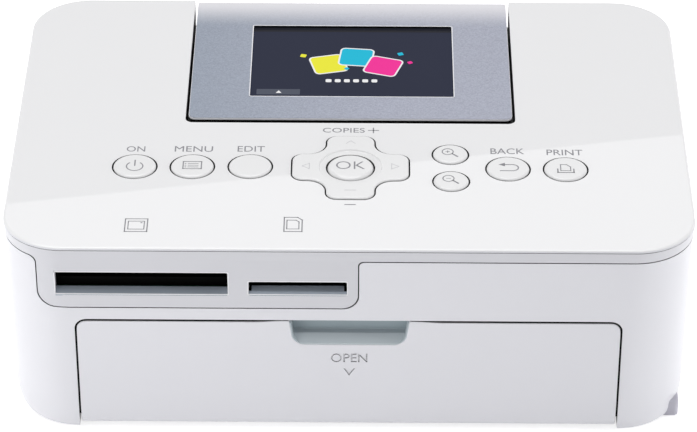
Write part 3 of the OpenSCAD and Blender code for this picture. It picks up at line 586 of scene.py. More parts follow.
def screen_group():
    """Lit picture elements: a fine grid over a slow glow."""
    tree, given, wanted, where = new_group(
        "lit screen", {"Colour": (0.02, 0.03, 0.05, 1), "Pitch": 0.00024},
        ("Colour", "Roughness"))
    grid = node(tree, "SeparateXYZ", in_Vector=where)
    rows = []
    for axis in ("X", "Y"):
        turns = maths("DIVIDE", grid.outputs[axis], given["Pitch"])
        rows.append(maths("MULTIPLY", maths("SINE", maths("MULTIPLY", turns, 2 * pi)), 0.05))
    glow = noise(where, in_Scale=30.0, in_Detail=1.0)
    tone = maths("ADD", maths("ADD", *rows), maths("MULTIPLY_ADD", glow, 0.12, 0.94))
    rough = maths("MULTIPLY_ADD", glow, 0.05, 0.2)
    feed_all(wanted, shaded(given["Colour"], tone), rough)
    return tree


MOULDED = moulded_group()
BRUSHED = brushed_group()
FLECK = fleck_group()
SCREEN = screen_group()


def grouped(name, group, colour_socket, **values):
    """Material with the group on a Principled shader; values that start with in_ go to the group."""
    made = bpy.data.materials.new(name)
    made.use_nodes = True
    tree = made.node_tree
    shader = tree.nodes["Principled BSDF"]
    inner = {key: value for key, value in values.items() if key.startswith("in_")}
    effect = node(tree, "Group", node_tree=group, **inner)
    for key, value in values.items():
        if key not in inner:
            shader.inputs[key.replace("_", " ")].default_value = value
    feed(shader.inputs[colour_socket], effect.outputs["Colour"])
    feed(shader.inputs["Roughness"], effect.outputs["Roughness"])
    return made


def finish(name, group, bump, **values):
    """Painted, moulded or metal surface with fine relief."""
    made = grouped(name, group, "Base Color", **values)
    nodes = made.node_tree.nodes
    relief = node(made.node_tree, "Bump", in_Strength=1.0, in_Distance=bump,
                  in_Height=nodes["Group"].outputs["Height"])
    feed(nodes["Principled BSDF"].inputs["Normal"], relief.outputs["Normal"])
    return made


def plastic(name, colour, rough, bump=4e-6, drift=0.02, **values):
    return finish(name, MOULDED, bump, in_Colour=(*colour, 1), in_Rough=rough,
                  in_Drift=drift, **values)


def lit(name, colour):
    """Patch of the display that gives off its own colour."""
    return grouped(name, SCREEN, "Emission Color", in_Colour=(*colour, 1), Base_Color=GLASS_COLOUR,
                   Specular_IOR_Level=0.04, Emission_Strength=1.0)


def metal(name, colour, rough):
    return finish(name, BRUSHED, 3e-6, in_Colour=(*colour, 1), in_Rough=rough,
                  in_Stretch=(1, 12, 12), Metallic=1.0)


# The cover's side faces are painted darker and lilac as shade; only its top faces get the clear coat.
TOP_WHITE = plastic("gloss white cover", (0.79, 0.79, 0.795), 0.32, in_Gap_Shade=1.0,
                    in_Side_Shade=1.0, in_Side_Colour=(0.68, 0.682, 0.715, 1), Coat_Roughness=0.01)
feed(TOP_WHITE.node_tree.nodes["Principled BSDF"].inputs["Coat Weight"],
     TOP_WHITE.node_tree.nodes["Group"].outputs["Top Face"])
CASE_WHITE = plastic("satin white case", (0.795, 0.795, 0.83), 0.34, in_Grain_Scale=2400.0,
                     in_Gap_Shade=1.0)
KEY_WHITE = plastic("white key", (0.8, 0.8, 0.8), 0.2, in_Gap_Shade=0.9, Coat_Weight=0.4,
                    Coat_Roughness=0.06)
LINER = plastic("grey liner", (0.5, 0.56, 0.59), 0.5)
# Darker copy of the grey liner: painted shade for the upper wall of the finger hollow.
LINER_SHADED = plastic("shaded grey liner", (0.34, 0.41, 0.44), 0.5)
SKID_GREY = plastic("grey skid", (0.56, 0.55, 0.62), 0.5)
GUIDE = plastic("blue grey guide", (0.38, 0.43, 0.49), 0.45)
DARK = plastic("charcoal plastic", (0.02, 0.022, 0.025), 0.5, bump=0.00001, drift=0.2)
BLACK = plastic("black plastic", (0.003, 0.003, 0.003), 0.5, drift=0.3, Specular_IOR_Level=0.04)
RUBBER = plastic("rubber", (0.03, 0.03, 0.032), 0.75, bump=0.00002, drift=0.2)
SILICONE = plastic("silicone", (0.5, 0.5, 0.5), 0.6)
GEAR_WHITE = plastic("acetal gear", (0.68, 0.66, 0.58), 0.42)
LEVER_BLUE = plastic("blue lever", (0.06, 0.16, 0.38), 0.4)
RIBBON = plastic("ribbon film", (0.7, 0.42, 0.03), 0.2)
CERAMIC = plastic("head ceramic", (0.55, 0.42, 0.24), 0.35)
BOARD = plastic("board lacquer", (0.01, 0.09, 0.035), 0.3, drift=0.3)
STEEL = metal("plated steel", (0.55, 0.56, 0.58), 0.3)
ALUMINIUM = metal("extruded aluminium", (0.62, 0.63, 0.65), 0.38)
BRASS = metal("brass", (0.62, 0.42, 0.16), 0.3)
# Its group paints shade towards the left and a pale sheen towards the rear.
SILVER = finish("silver panel", FLECK, 0.000008, in_Colour=(0.3, 0.317, 0.39, 1), Metallic=0.3,
                Coat_Weight=0.3, Coat_Roughness=0.15)
INK = plastic("grey print", (0.2, 0.2, 0.22), 0.4)
# Near white for the painted highlights round the display.
RIM_HIGHLIGHT = plastic("painted highlight rim", (0.93, 0.93, 0.95), 0.2)
# Near white for the painted highlights round the card slots.
MOUTH_HIGHLIGHT = plastic("painted highlight mouth rim", (0.93, 0.93, 0.94), 0.3)
INK_FAINT = plastic("faint print", (0.5, 0.5, 0.52), 0.4)
NAVY = lit("navy backdrop", (0.01, 0.014, 0.036))
NIGHT = lit("unlit border", (0.008, 0.009, 0.014))
YELLOW = lit("yellow card", (0.8, 0.78, 0.03))
CYAN = lit("cyan card", (0.0, 0.47, 0.66))
MAGENTA = lit("magenta card", (0.86, 0.02, 0.3))
LIT_WHITE = lit("white light", (0.85, 0.85, 0.86))
SLATE = lit("slate bar", (0.07, 0.08, 0.11))


# ---- case ----

def body_levels():
    """Plan sections of the case from its foot curve up to the parting line."""
    levels = []
    side, front, radius = FOOT_TUCK
    for i in range(FOOT_STEPS + 1):
        turn = (pi / 2) * (1 - i / FOOT_STEPS)
        tuck = 1 - cos(turn)
        levels.append((SKIRT_Z - (SKIRT_Z - BASE_Z) * sin(turn), FOOT_SIDE + side * tuck,
                       FOOT_FRONT + front * tuck, FOOT_R - radius * tuck))
    return levels + [(SEAM_Z + SEAM_GAP / 2, SIDE_IN, FRONT_IN, CORNER_R)]


def top_levels():
    """Plan sections above the parting line, with a fine groove under the rounded rim."""
    levels = [(TOP_Z - 0.92, 0.1, 0.14, CORNER_R - 0.1),
              (TOP_Z - 0.9, 0.4, 0.45, CORNER_R - 0.4),
              (TOP_Z - 0.7, 0.4, 0.45, CORNER_R - 0.4), (TOP_Z - 0.68, 0, 0, CORNER_R)]
    for i in range(RIM_STEPS + 1):
        turn = (pi / 2) * i / RIM_STEPS
        inset = TOP_EDGE * (1 - cos(turn))
        levels.append((TOP_Z - TOP_EDGE * (1 - sin(turn)), inset, inset, CORNER_R - inset))
    return levels


def seam_cutter(gap, above):
    """Everything above or below the parting line, with the tongue and its fillets."""
    z = SEAM_Z + gap
    grow = abs(min(gap, 0)) * 2
    x0, x1, bottom = TONGUE_X[0] - grow, TONGUE_X[1] + grow, TONGUE_Z - grow
    edge = 120.0
    far = 90.0 if above else -30.0
    points = [(-edge, z), (x0, z), (x0, bottom), (x1, bottom), (x1, z), (edge, z),
              (edge, far), (-edge, far)]
    radii = [0, 1.8, TONGUE_R, TONGUE_R, 1.4, 0, 0, 0]
    front = from_front(outline(points, radii, 10), 50, 80)
    rest = from_front(rectangle(-edge, edge, min(z, far), max(z, far)), -80, 50.01)
    return front, rest


def door_opening(grow=0.0, bottom=-10.0):
    """Outline of the opening for the paper door, rounded at the top."""
    half = DOOR_W / 2 + DOOR_SIDE_GAP + grow
    front = rectangle(-half, half, bottom, DOOR_TOP + DOOR_GAP + grow)
    round_corners(front, [v for v in front.verts if v.co.y > 20], DOOR_CORNER_R + DOOR_GAP, 10)
    return front


def ink_outline(grow=0.0):
    """Ink door seen from the right."""
    return rectangle(INK_Y - INK_HALF - grow, INK_Y + INK_HALF + grow, INK_BOTTOM - grow,
                     INK_TOP + grow, 1.2 if grow else 1.0, 6)


def rear_cutters():
    """Paper slot, fan slots, power inlet and data port in the rear wall."""
    cuts = [rectangle(*PAPER_SLOT, 1.0, 4), disc(*POWER_INLET, 32), rectangle(*DATA_PORT, 0.8, 4)]
    for i in range(-3, 4):
        z = FAN_SLOT_Z + i * FAN_SLOT_STEP
        cuts.append(rectangle(*FAN_SLOT_X, z - FAN_SLOT_HALF, z + FAN_SLOT_HALF, 0.7, 4))
    return [from_front(cut, *REAR_CUT) for cut in cuts]


def outside(edge):
    """True for an edge that lies on the outer faces, not inside the case."""
    inset, slack, corner = FOOT_SIDE + SKIN, 0.6, CORNER_R + 2
    for v in edge.verts:
        x, y, z = v.co
        if z < BASE_Z + 0.3 or z > TOP_Z - 0.3:
            continue
        if abs(x) < SIDE_X - inset - slack and front_y(z) + SKIN < y < REAR_Y - inset - slack:
            dx, dy = abs(x) - (SIDE_X - corner), abs(y) - (REAR_Y - corner)
            if dx > 0 and dy > 0 and sqrt(dx * dx + dy * dy) > corner - 2 * SKIN:
                continue
            return False
    return True


def make_base():
    shell = stack(body_levels())
    front_cut, rest_cut = seam_cutter(-SEAM_GAP / 2, True)
    notch = from_front(rectangle(-WELL_HALF, WELL_HALF, WELL_FLOOR, 70), -70, -50)
    cuts = [case_hollow(SEAM_Z + 2), front_cut, rest_cut, from_front(door_opening(), *FRONT_CUT),
            from_side(ink_outline(INK_GAP), *INK_CUT), notch]
    shell = carve(shell, cuts + rear_cutters())
    soften(shell, 0.3, 3, outside)
    skid = soften(thicken(rectangle(*SKID, 1.2, 5), *SKID_Z), 0.5)
    place(skid, "corner_skid", "case", SKID_GREY)
    place(shell, "base_shell", "case", CASE_WHITE, ["base_case"])


def make_lip():
    """Ledge behind the parting line."""
    side, front, radius = LIP
    outer = stack([(z, *LIP) for z in (SEAM_Z - 3.2, SEAM_Z + 1.3)])
    inner = stack([(z, side + LIP_T, front + LIP_T, radius - LIP_T) for z in (SEAM_Z - 4, SEAM_Z + 2)])
    well = thicken(rectangle(-WELL_HALF - 2, WELL_HALF + 2, 50, 70), 40, 70)
    tongue = from_front(rectangle(-82, 5, 40, 60), 50, 70)
    place(carve(outer, [inner, well, tongue]), "seam_lip", "case", CASE_WHITE)


def pad_shape(grow=0.0):
    """Cross outline of the direction pad, grown on every side."""
    half, reach, inner = LOBE_HALF + grow, PAD_REACH + grow, LOBE_R + grow
    ring = [(half, -reach), (half, -half), (reach, -half), (reach, half), (half, half),
            (half, reach), (-half, reach), (-half, half), (-reach, half), (-reach, -half),
            (-half, -half), (-half, -reach)]
    return moved(outline(ring, [inner, LOBE_FILLET - grow, inner] * 4), *PAD, 0)


def case_hollow(ceiling):
    """Inside of the case up to the given height."""
    return stack([(BASE_Z + WALL, 1.4 + WALL, 4.5 + WALL, 14.6),
                  (SKIRT_Z, FOOT_SIDE + WALL, FOOT_FRONT + WALL, 16.5),
                  (SEAM_Z, SIDE_IN + WALL, FRONT_IN + WALL, 13.8),
                  (ceiling, SIDE_IN + WALL, 3.0, 13.8)])


def make_cover():
    shell = stack(body_levels() + top_levels())
    well = thicken(rectangle(-WELL_HALF, WELL_HALF, WELL_FRONT, 75, 2.0, 6), 40, 70)
    cuts = [case_hollow(TOP_Z - WALL), *seam_cutter(SEAM_GAP / 2, False), well]
    cuts += [through_top(disc(x, y - KEY_DROP, d / 2 + KEY_GAP, 48)) for x, y, d in KEYS.values()]
    cuts.append(through_top(moved(pad_shape(KEY_GAP), 0, -KEY_DROP, 0)))
    for x0, x1, z0, z1 in (LARGE_SLOT, SMALL_SLOT):
        cuts.append(from_front(rectangle(x0, x1, z0 - 0.5, z1, 0.5, 3), 52, 80))
    shell = carve(shell, cuts)
    soften(shell, 0.2, 2, outside)
    cover = place(shell, "cover_shell", "case", TOP_WHITE, ["top_cover"])
    for face in cover.data.polygons:
        face.use_smooth = face.normal.z < LEVEL


# ---- doors ----

def on_front(flat, low, high):
    """Stands a flat outline (x, height) on the leaning front wall, from low to high outwards."""
    lean = Matrix.Identity(4)
    lean[1][2] = -LEAN
    return moved(turned(from_front(flat, low, high), lean), 0, front_y(0), 0)


def notch_outline(grow=0.0, top=DOOR_TOP):
    """Finger notch in the top edge of the paper door."""
    low, high = NOTCH_HALF + grow, NOTCH_TOP_HALF + grow
    flat = outline([(-low, NOTCH_Z - grow), (low, NOTCH_Z - grow), (high, top), (-high, top)],
                   [3.0 + grow, 3.0 + grow, 0, 0])
    return moved(flat, NOTCH_X, 0, 0)


def open_marks():
    """Engraved word and arrow on the door, as flat outlines."""
    chevron = outline([(-1.25, 21.3), (0.2, 18.9), (1.65, 21.3), (1.2, 21.3), (0.2, 19.65),
                       (-0.8, 21.3)])
    return [lettering("OPEN", -4.5, 4.9, 23.4, 26.3, -0.002), chevron]


def door_outline(grow=0.0):
    """Paper door seen from the front; its top edge rises beside the notch."""
    half, top = DOOR_W / 2 + grow, DOOR_TOP + grow
    rise, ramp = top + NOTCH_RISE, NOTCH_TOP_HALF + 2
    points = [(-half, DOOR_AXIS_Z), (half, DOOR_AXIS_Z), (half, top), (ramp + 5, top), (ramp, rise),
              (-ramp, rise), (-ramp - 5, top), (-half, top)]
    corner = DOOR_CORNER_R + grow
    return outline(points, [0, 0, corner, 1.5, 1.5, 1.5, 1.5, corner], 6)


def make_door_gap_shadow():
    """Black strip that stands in for the shade in the gap round the paper door."""
    strip = door_opening(SHADOW_STRIP_BITE, DOOR_AXIS_Z + 1)
    notch = rectangle(NOTCH_X - NOTCH_TOP_HALF - 0.4, NOTCH_X + NOTCH_TOP_HALF + 0.4, 20, 45)
    shadow_strip = carve(on_front(strip, *SHADOW_STRIP_DEPTH),
                 [on_front(door_outline(SHADOW_STRIP_BITE), -3, 3), on_front(notch, -3, 3)])
    place(shadow_strip, "paper_door_gap_shadow", "case", BLACK, weighted=False)


def make_paper_door():
    notch = on_front(notch_outline(0, DOOR_TOP + 3), -8, 8)
    door = carve(on_front(door_outline(), -DOOR_T, 0), [notch])
    soften(door, 0.3, 3, above(DOOR_AXIS_Z + 0.1))
    door = carve(door, [on_front(mark, -ENGRAVED, 0.3) for mark in open_marks()])
    barrel = bmesh.new()
    bmesh.ops.create_cone(barrel, cap_ends=True, radius1=DOOR_BARREL_R, radius2=DOOR_BARREL_R,
                          depth=DOOR_W, segments=48)
    turned(barrel, Matrix.Rotation(pi / 2, 4, "Y"))
    moved(barrel, 0, front_y(DOOR_AXIS_Z) + DOOR_BARREL_R, DOOR_AXIS_Z)
    soften(barrel, 0.3, 2)
    place(joined(door, barrel), "paper_door_panel", "paper_door", CASE_WHITE,
          ["paper_door"])


def make_scoop():
    """Grey inner panel of the door, with the hollow for a finger."""
    back = front_y(DOOR_AXIS_Z) + DOOR_T
    y_top = front_y(DOOR_TOP) + DOOR_T
    y, z = front_y(NOTCH_Z), NOTCH_Z
    sheet = outline([(back + 0.02, DOOR_AXIS_Z + 4.5), (back + 1.2, DOOR_AXIS_Z + 4.5),
                     (y_top + 1.2, DOOR_TOP - 0.3), (y_top + 0.02, DOOR_TOP - 0.3)])
    hollow = outline([(y - 3, z + 0.2), (y, z + 0.2), (y + 2.4, z + 2.3), (y + 4.2, z + 2.4),
                      (y + 4.4, DOOR_TOP + 2), (y - 3, DOOR_TOP + 2)], [0, 0, 0.2, 0.4, 0, 0], 5)
    hollow = carve(from_side(hollow, -20, 20),
                   [on_front(notch_outline(-0.25, DOOR_TOP + 3), -9, 5)], "INTERSECT")
    cup = on_front(notch_outline(0.9, DOOR_TOP - 0.3), -DOOR_T - 3.4, -DOOR_T - 0.02)
    inlay = on_front(notch_outline(-0.02, DOOR_TOP - 0.3), -DOOR_T - 0.5, -0.25)
    whole = carve(from_side(sheet, -LINER_HALF, LINER_HALF), [cup, inlay], "UNION")
    # Painted shade: the upper wall of the hollow is a piece in a darker copy of the liner.
    wall = outline([(y + 4.08, z + 2.3), (y + 4.6, z + 2.3), (y + 4.8, DOOR_TOP - 0.4),
                    (y + 4.28, DOOR_TOP - 0.4)])
    wall = carve(from_side(wall, -20, 20), [on_front(notch_outline(0.2), -9, 5)], "INTERSECT")
    place(wall, "scoop_shaded_wall", "paper_door", LINER_SHADED, weighted=False)
    place(carve(whole, [hollow]), "door_scoop", "paper_door", LINER, ["door_liner"])


def make_ink_door():
    door = carve(stack(body_levels()), [from_side(ink_outline(), *INK_DOOR_X)], "INTERSECT")
    soften(door, 0.3, 2)
    place(door, "ink_door_panel", "ink_door", CASE_WHITE, ["ink_door"])


# ---- display ----

def crown(y):
    """How far the top of the panel has fallen at y."""
    return CROWN_R - sqrt(CROWN_R ** 2 - max(y - CROWN_Y, 0) ** 2)


def panel_section(low, high, y0, y1, edge=0.0, tip=0.0):
    """Side view of the tilting panel between two heights, with its crowned top."""
    arc_y = [CROWN_Y + (y1 - CROWN_Y) * i / 5 for i in range(5)]
    top = [(y, high - crown(y)) for y in [y1] + arc_y[::-1]] + [(y0, high)]
    section = outline([(y0, low), (y1, low)] + top, [0, 0, edge] + [0] * 5 + [tip], 6)
    return from_side(section, -50, 50)


def panel_plan(inset=0.0):
    return thicken(rectangle(inset - PANEL_HALF, PANEL_HALF - inset, inset, 70, 1.8 - inset, 8), 40, 70)


def make_display_cap():
    """Silver cap of the panel, with its opening for the screen, and the pale rim under it that paints a
    highlight.
    """
    x0, x1, y0, y1 = WINDOW
    low = TOP_Z - PANEL_CAP
    under = panel_section(40, low, -1, REAR_Y - 1.6)
    window = through_top(rectangle(x0, x1, y0, y1, 0.6, 5))
    cap = carve(panel_section(PANEL_TIP, TOP_Z, 0, REAR_Y, 1.2, 0.2), [under, window])
    cap = soften(carve(cap, [panel_plan(0.12)], "INTERSECT"), 0.05, 2)
    place(cap, "display_cap", "display", SILVER, ["display_bezel"])
    hollow = through_top(rectangle(x0 - 1, x1 + 1, y0 - 1, y1 + 1))
    rim = carve(panel_section(50, low - 0.01, 0, REAR_Y - 1.7),
                [panel_section(40, low - PANEL_RIM, -1, REAR_Y + 1), hollow])
    rim = carve(rim, [panel_plan()], "INTERSECT")
    # Pale bead round the window, a painted highlight of its edge.
    bead = thicken(rim_line(*WINDOW), low + 0.1, TOP_Z + 0.02)
    place(joined(rim, bead), "display_highlight_rim", "display", RIM_HIGHLIGHT, weighted=False)


def make_display_body():
    """Dark frame under the silver cap."""
    x0, x1, y0, y1 = WINDOW
    high, half = TOP_Z - PANEL_CAP - PANEL_RIM, PANEL_HALF - FRAME_WALL
    body = panel_section(PANEL_BOTTOM, high, FRAME_IN, REAR_Y - FRAME_IN)
    body = carve(body, [panel_plan(FRAME_IN)], "INTERSECT")
    inner = thicken(rectangle(-half, half, FRAME_WALL, REAR_Y - 1.7), 50, TOP_Z - 1.7)
    window = through_top(rectangle(x0 - 0.2, x1 + 0.2, y0 - 0.2, y1 + 0.2, 0.6, 3))
    body = carve(body, [inner, window])
    place(soften(body, 0.15, 2), "display_body", "display", BLACK)


def tile(name, look, outlines, level):
    """Lit patches on the screen; level sets which lie over which."""
    low = SCREEN_Z + TILE_T * level
    place(thicken(joined(*outlines), low, low + TILE_T), name, "display", look, weighted=False)


def card(x, y, size, turn, radius):
    half = size / 2
    return posed(rectangle(-half, half, -half, half, radius, 6), x, y, turn)


def make_screen():
    """Lit screen with a plain greeting: three picture cards, a caption bar and a soft key."""
    x0, x1, y0, y1 = WINDOW
    glass = thicken(rectangle(x0 - 1.4, x1 + 1.4, y0 - 1.4, y1 + 1.4), SCREEN_Z - 1.6, SCREEN_Z)
    place(glass, "screen", "display", NAVY, ["display_window"], weighted=False)
    tile("screen_border", NIGHT, [rectangle(x0 - 1, x1 + 1, y1 - 2.1, y1 + 1)], 0)
    cards = [("yellow", YELLOW, -6.2, 29.6, 14), ("cyan", CYAN, 1.4, 33.4, -6),
             ("magenta", MAGENTA, 8.8, 28.6, -18)]
    for level, (name, look, x, y, turn) in enumerate(cards):
        tile(name + "_card_edge", LIT_WHITE, [card(x, y, CARD_SIZE + 0.9, turn, 1.5)], 2 * level)
        tile(name + "_card", look, [card(x, y, CARD_SIZE, turn, 1.1)], 2 * level + 1)
    tile("small_cards", CYAN, [card(13.6, 35.2, 1.5, 20, 0.3), card(-1.2, 27.2, 1.2, 40, 0.25)], 6)
    tile("small_yellow_card", YELLOW, [card(-13.2, 34.0, 1.6, -15, 0.3)], 6)
    tile("small_magenta_card", MAGENTA, [card(16.2, 30.6, 1.3, 30, 0.3)], 6)
    marks = [rectangle(-6.9 + i * 2.5, -5.3 + i * 2.5, 20.0, 21.6, 0.4, 3) for i in range(6)]
    tile("caption", LIT_WHITE, marks, 1)
    tile("soft_key", SLATE, [rectangle(-25.6, -13.8, 13.4, 16.2, 0.2, 2)], 1)
    tick = outline([(-20.4, 14.2), (-18.8, 14.2), (-19.6, 15.5)])
    tile("soft_key_mark", LIT_WHITE, [tick], 2)


# ---- keys ----

def key_cap(flat, low, edge):
    """Cap with a full, rounded rim."""
    return soften(thicken(flat, low, KEY_TOP), edge, 6, above(KEY_TOP - 0.01))


def key_icon(name, x, y):
    """Printed mark of a key, as flat pieces about the key's middle."""
    marks = []
    if name == "power":
        marks = [arc(0, 0, 2.15, 0.32, 128, 284), line(0, 0.3, 0, 2.9, 0.34)]
    elif name == "menu":
        marks = [frame_line(-2.4, 2.4, -1.2, 2.3, 0.3)]
        marks += [line(-1.1, h, 1.5, h, 0.22) for h in (-0.35, 0.5, 1.35)]
        marks += [line(-1.85, h, -1.75, h, 0.3) for h in (-0.35, 0.5, 1.35)]
    elif name in ("zoom_in", "zoom_out"):
        marks = [arc(-0.7, 1.3, 1.45, 0.28), line(0.5, 0.3, 1.8, -1.0, 0.45),
                 line(-1.2, 1.3, -0.2, 1.3, 0.2)]
        if name == "zoom_in":
            marks.append(line(-0.7, 0.85, -0.7, 1.75, 0.2))
    elif name == "back":
        marks = [outline([(-2.4, 2.0), (-0.8, 1.15), (-0.8, 2.85)]), line(-0.8, 2.0, 1.1, 2.0, 0.32),
                 arc(1.2, 0.5, 1.5, 0.32, -90, 180), line(-2.0, -1.0, 1.1, -1.0, 0.32)]
    elif name == "print":
        marks = [path([(-2.1, 0.1), (-2.1, -1.6), (2.1, -1.6), (2.1, 0.1)], 0.34),
                 path([(-1.3, 2.2), (-1.3, -0.7), (1.3, -0.7), (1.3, 1.1), (0.3, 2.2)], 0.26, True)]
    return [moved(m, x, y - ICON_DROP, 0) for m in marks]


def make_round_key(name, x, y, d):
    cap = key_cap(disc(x, y, d / 2, 96), KEY_FOOT, KEY_ROUND)
    flange = thicken(disc(x, y, d / 2 + FLANGE_OUT, 48), *FLANGE_Z)
    place(joined(cap, flange), name + "_cap", name + "_key", KEY_WHITE, [name + "_button"])
    icon = key_icon(name, x, y)
    if icon:
        printed(icon, name + "_icon", name + "_key", INK, KEY_TOP)


def pad_triangle(x, y, turn):
    """Outlined arrow that points up before it is turned."""
    arrow = path([(-1.3, -0.8), (1.3, -0.8), (0, 1.1)], 0.16, True)
    return posed(arrow, x, y, turn)


def on_dish_rim(spot):
    return DISH_R - 0.3 < (spot.xy - Vector(PAD)).length < DISH_R + 0.1


def make_pad():
    x, y = PAD
    cap = key_cap(pad_shape(), PAD_FOOT, PAD_ROUND)
    dish = soften(thicken(disc(x, y, DISH_R, 96), KEY_TOP - 0.5, KEY_TOP + 1), 0.4)
    cap = carve(cap, [through_top(disc(x, y - KEY_DROP, OK_R + OK_GAP, 96)), dish])
    soften(cap, 0.3, 3, lambda e: all(on_dish_rim(v.co) for v in e.verts))
    place(cap, "direction_pad_cap", "direction_pad", KEY_WHITE, ["nav_pad"])
    marks = [pad_triangle(x - ARROW_REACH, y, 90), pad_triangle(x + ARROW_REACH, y, -90),
             path([(x - 1.2, y + 11.2), (x, y + 12.6), (x + 1.2, y + 11.2)], 0.16),
             line(x - 1.4, y - ARROW_REACH, x + 1.4, y - ARROW_REACH, 0.22)]
    printed(marks, "direction_pad_marks", "direction_pad", INK_FAINT, KEY_TOP)


def make_ok():
    cap = key_cap(disc(*PAD, OK_R, 96), OK_FOOT, OK_ROUND)
    place(cap, "ok_cap", "ok_key", KEY_WHITE, ["ok_button"])
    printed([lettering("OK", -3.6, 4.0, -25.9, -22.2, -0.012)], "ok_mark", "ok_key", INK, KEY_TOP)


def make_legends():
    """Function names and card outlines printed on the cover."""
    words = [("ON", -59.0, -54.1, -17.3, -14.7), ("MENU", -46.3, -36.2, -17.2, -14.5),
             ("EDIT", -29.7, -22.5, -17.0, -14.3), ("BACK", 37.1, 46.0, -17.5, -14.7),
             ("PRINT", 51.9, 61.4, -17.9, -15.2), ("COPIES", -7.3, 3.9, -7.2, -4.9)]
    marks = [lettering(*word) for word in words]
    marks += [line(4.9, -6.05, 7.5, -6.05, 0.32), line(6.2, -7.25, 6.2, -4.85, 0.32),
              line(-1.1, -42.4, 1.5, -42.4, 0.34)]
    marks += [frame_line(-57.3, -51.6, -55.6, -49.7, 0.3),
              frame_line(-56.5, -52.4, -54.5, -50.8, 0.26), line(-53.2, -51.5, -53.1, -51.5, 0.4)]
    marks += [frame_line(-16.6, -12.0, -55.2, -48.6, 0.3, 1.2),
              frame_line(-15.9, -12.8, -54.0, -49.9, 0.26, 0.8)]
    printed(marks, "legends", "case", INK, TOP_Z)


# ---- card slots ----

def make_card_mouths():
    """Grey ramps and black hollows behind the card slots, with pale lines round them that paint
    highlights.
    """
    x0, x1, z0, z1 = LARGE_SLOT
    y0 = front_y(z0)
    ramp = outline([(y0 + 0.1, z0 - 0.7), (y0 + 3.6, z0 - 0.7), (y0 + 2.9, z0 + 0.6), (y0 + 0.1, z0)],
                   [0, 0, 0.3, 0.12], 3)
    ramps = [from_side(ramp, x0, x1)]
    x0, x1, z0, z1 = SMALL_SLOT
    y0 = front_y(z0)
    lip = outline([(y0 + 0.1, z0 - 0.7), (y0 + 1.4, z0 - 0.7), (y0 + 0.9, z0 + 0.5), (y0 + 0.1, z0)],
                  [0, 0, 0.2, 0.12], 3)
    rail = outline([(y0 + 0.6, z0 - 0.7), (y0 + 3.6, z0 - 0.7), (y0 + 3.1, z0 + 0.8),
                    (y0 + 0.6, z0 + 0.4)], [0, 0, 0.3, 0], 3)
    ramps += [from_side(lip, x0, x1), from_side(rail, x0 + 0.75, x1 - 0.75)]
    hollows = []
    for x0, x1, z0, z1 in (LARGE_SLOT, SMALL_SLOT):
        y0 = front_y(z0)
        box = from_front(rectangle(x0 - 0.6, x1 + 0.6, z0 - 1.2, z1 + 0.6), -y0 - 12, -y0 - 2.25)
        mouth = from_front(rectangle(x0, x1, z0 - 0.7, z1), -y0 - 11, -y0 + 1)
        hollows.append(carve(box, [mouth]))
    place(joined(*ramps), "card_ramps", "case", GUIDE, ["card_guide"])
    # Pale lines round the slots, painted highlights of their edges.
    highlight_rims = [on_front(rim_line(*slot), -0.3, 0.02) for slot in (LARGE_SLOT, SMALL_SLOT)]
    place(joined(*highlight_rims), "card_mouth_highlights", "case", MOUTH_HIGHLIGHT, weighted=False)
    place(joined(*hollows), "card_mouths", "case", BLACK)


# ---- inner pieces ----

def by_name(*rows):
    """Table of names, from rows of a value and the names that have it."""
    return {name: value for value, names in rows for name in names.split()}


NODE_FINISHES = by_name(
    (RUBBER, "feet pickup_roller platen_roller pinch_roller"),
    (STEEL, "case_screws lcd_module display_hinge_pins dome_switches usb_port chassis_left "
            "chassis_right chassis_floor capstan_roller head_shaft feed_motor ribbon_motor"),
    (LINER, "cassette_bay"),
    (DARK, "display_back display_well ink_cassette take_up_spool"),
    (SILICONE, "nav_gimbal key_mat"),
    (BOARD, "key_board card_board main_board"),
    (BLACK, "card_connector_large card_connector_small board_components dc_inlet fan_frame "
            "fan_impeller"),
    (CERAMIC, "thermal_head"),
    (ALUMINIUM, "head_carrier"),
    (BRASS, "motor_pinion ribbon_pinion"),
    (GEAR_WHITE, "idler_gear capstan_gear pickup_gear ribbon_gear"),
    (RIBBON, "supply_spool ribbon_film"),
    (LEVER_BLUE, "eject_lever"))
NODE_EDGE = 0.15            # rounding of the inner pieces; some have their own
FINE_EDGES = by_name(
    (0.08, "capstan_gear pickup_gear ribbon_gear idler_gear"), (0.02, "ribbon_film"),
    (0.06, "motor_pinion ribbon_pinion dome_switches nav_gimbal"), (0.12, "case_screws"),
    (0.3, "feet"))


def dress_nodes():
    """Finishes each inner piece: merged faces, softened edges and its own material."""
    record = frame["record"]
    for body, names in record["behaviour"]["bodies"].items():
        for name in names:
            if name not in NODE_FINISHES:
                continue
            copy = bmesh.new()
            copy.from_mesh(frame["nodes"][name].data)
            bmesh.ops.scale(copy, vec=(1 / MM, 1 / MM, 1 / MM), verts=copy.verts[:])
            bmesh.ops.remove_doubles(copy, verts=copy.verts[:], dist=SAME)
            bmesh.ops.dissolve_limit(copy, angle_limit=radians(0.5), verts=copy.verts[:],
                                     edges=copy.edges[:])
            soften(copy, FINE_EDGES.get(name, NODE_EDGE), 2, angle=40)
            place(copy, name + "_dressed", body, NODE_FINISHES[name], [name])


# ---- stage ----

CAMERA_SPOT = (0.004446, -0.818791, 0.564502)  # metres
CAMERA_TURN = (-0.0059658, 0.5789686, 0.0025665)  # yaw, down, roll in radians
AIM = (0, 0, 0.03)          # all lamps point here
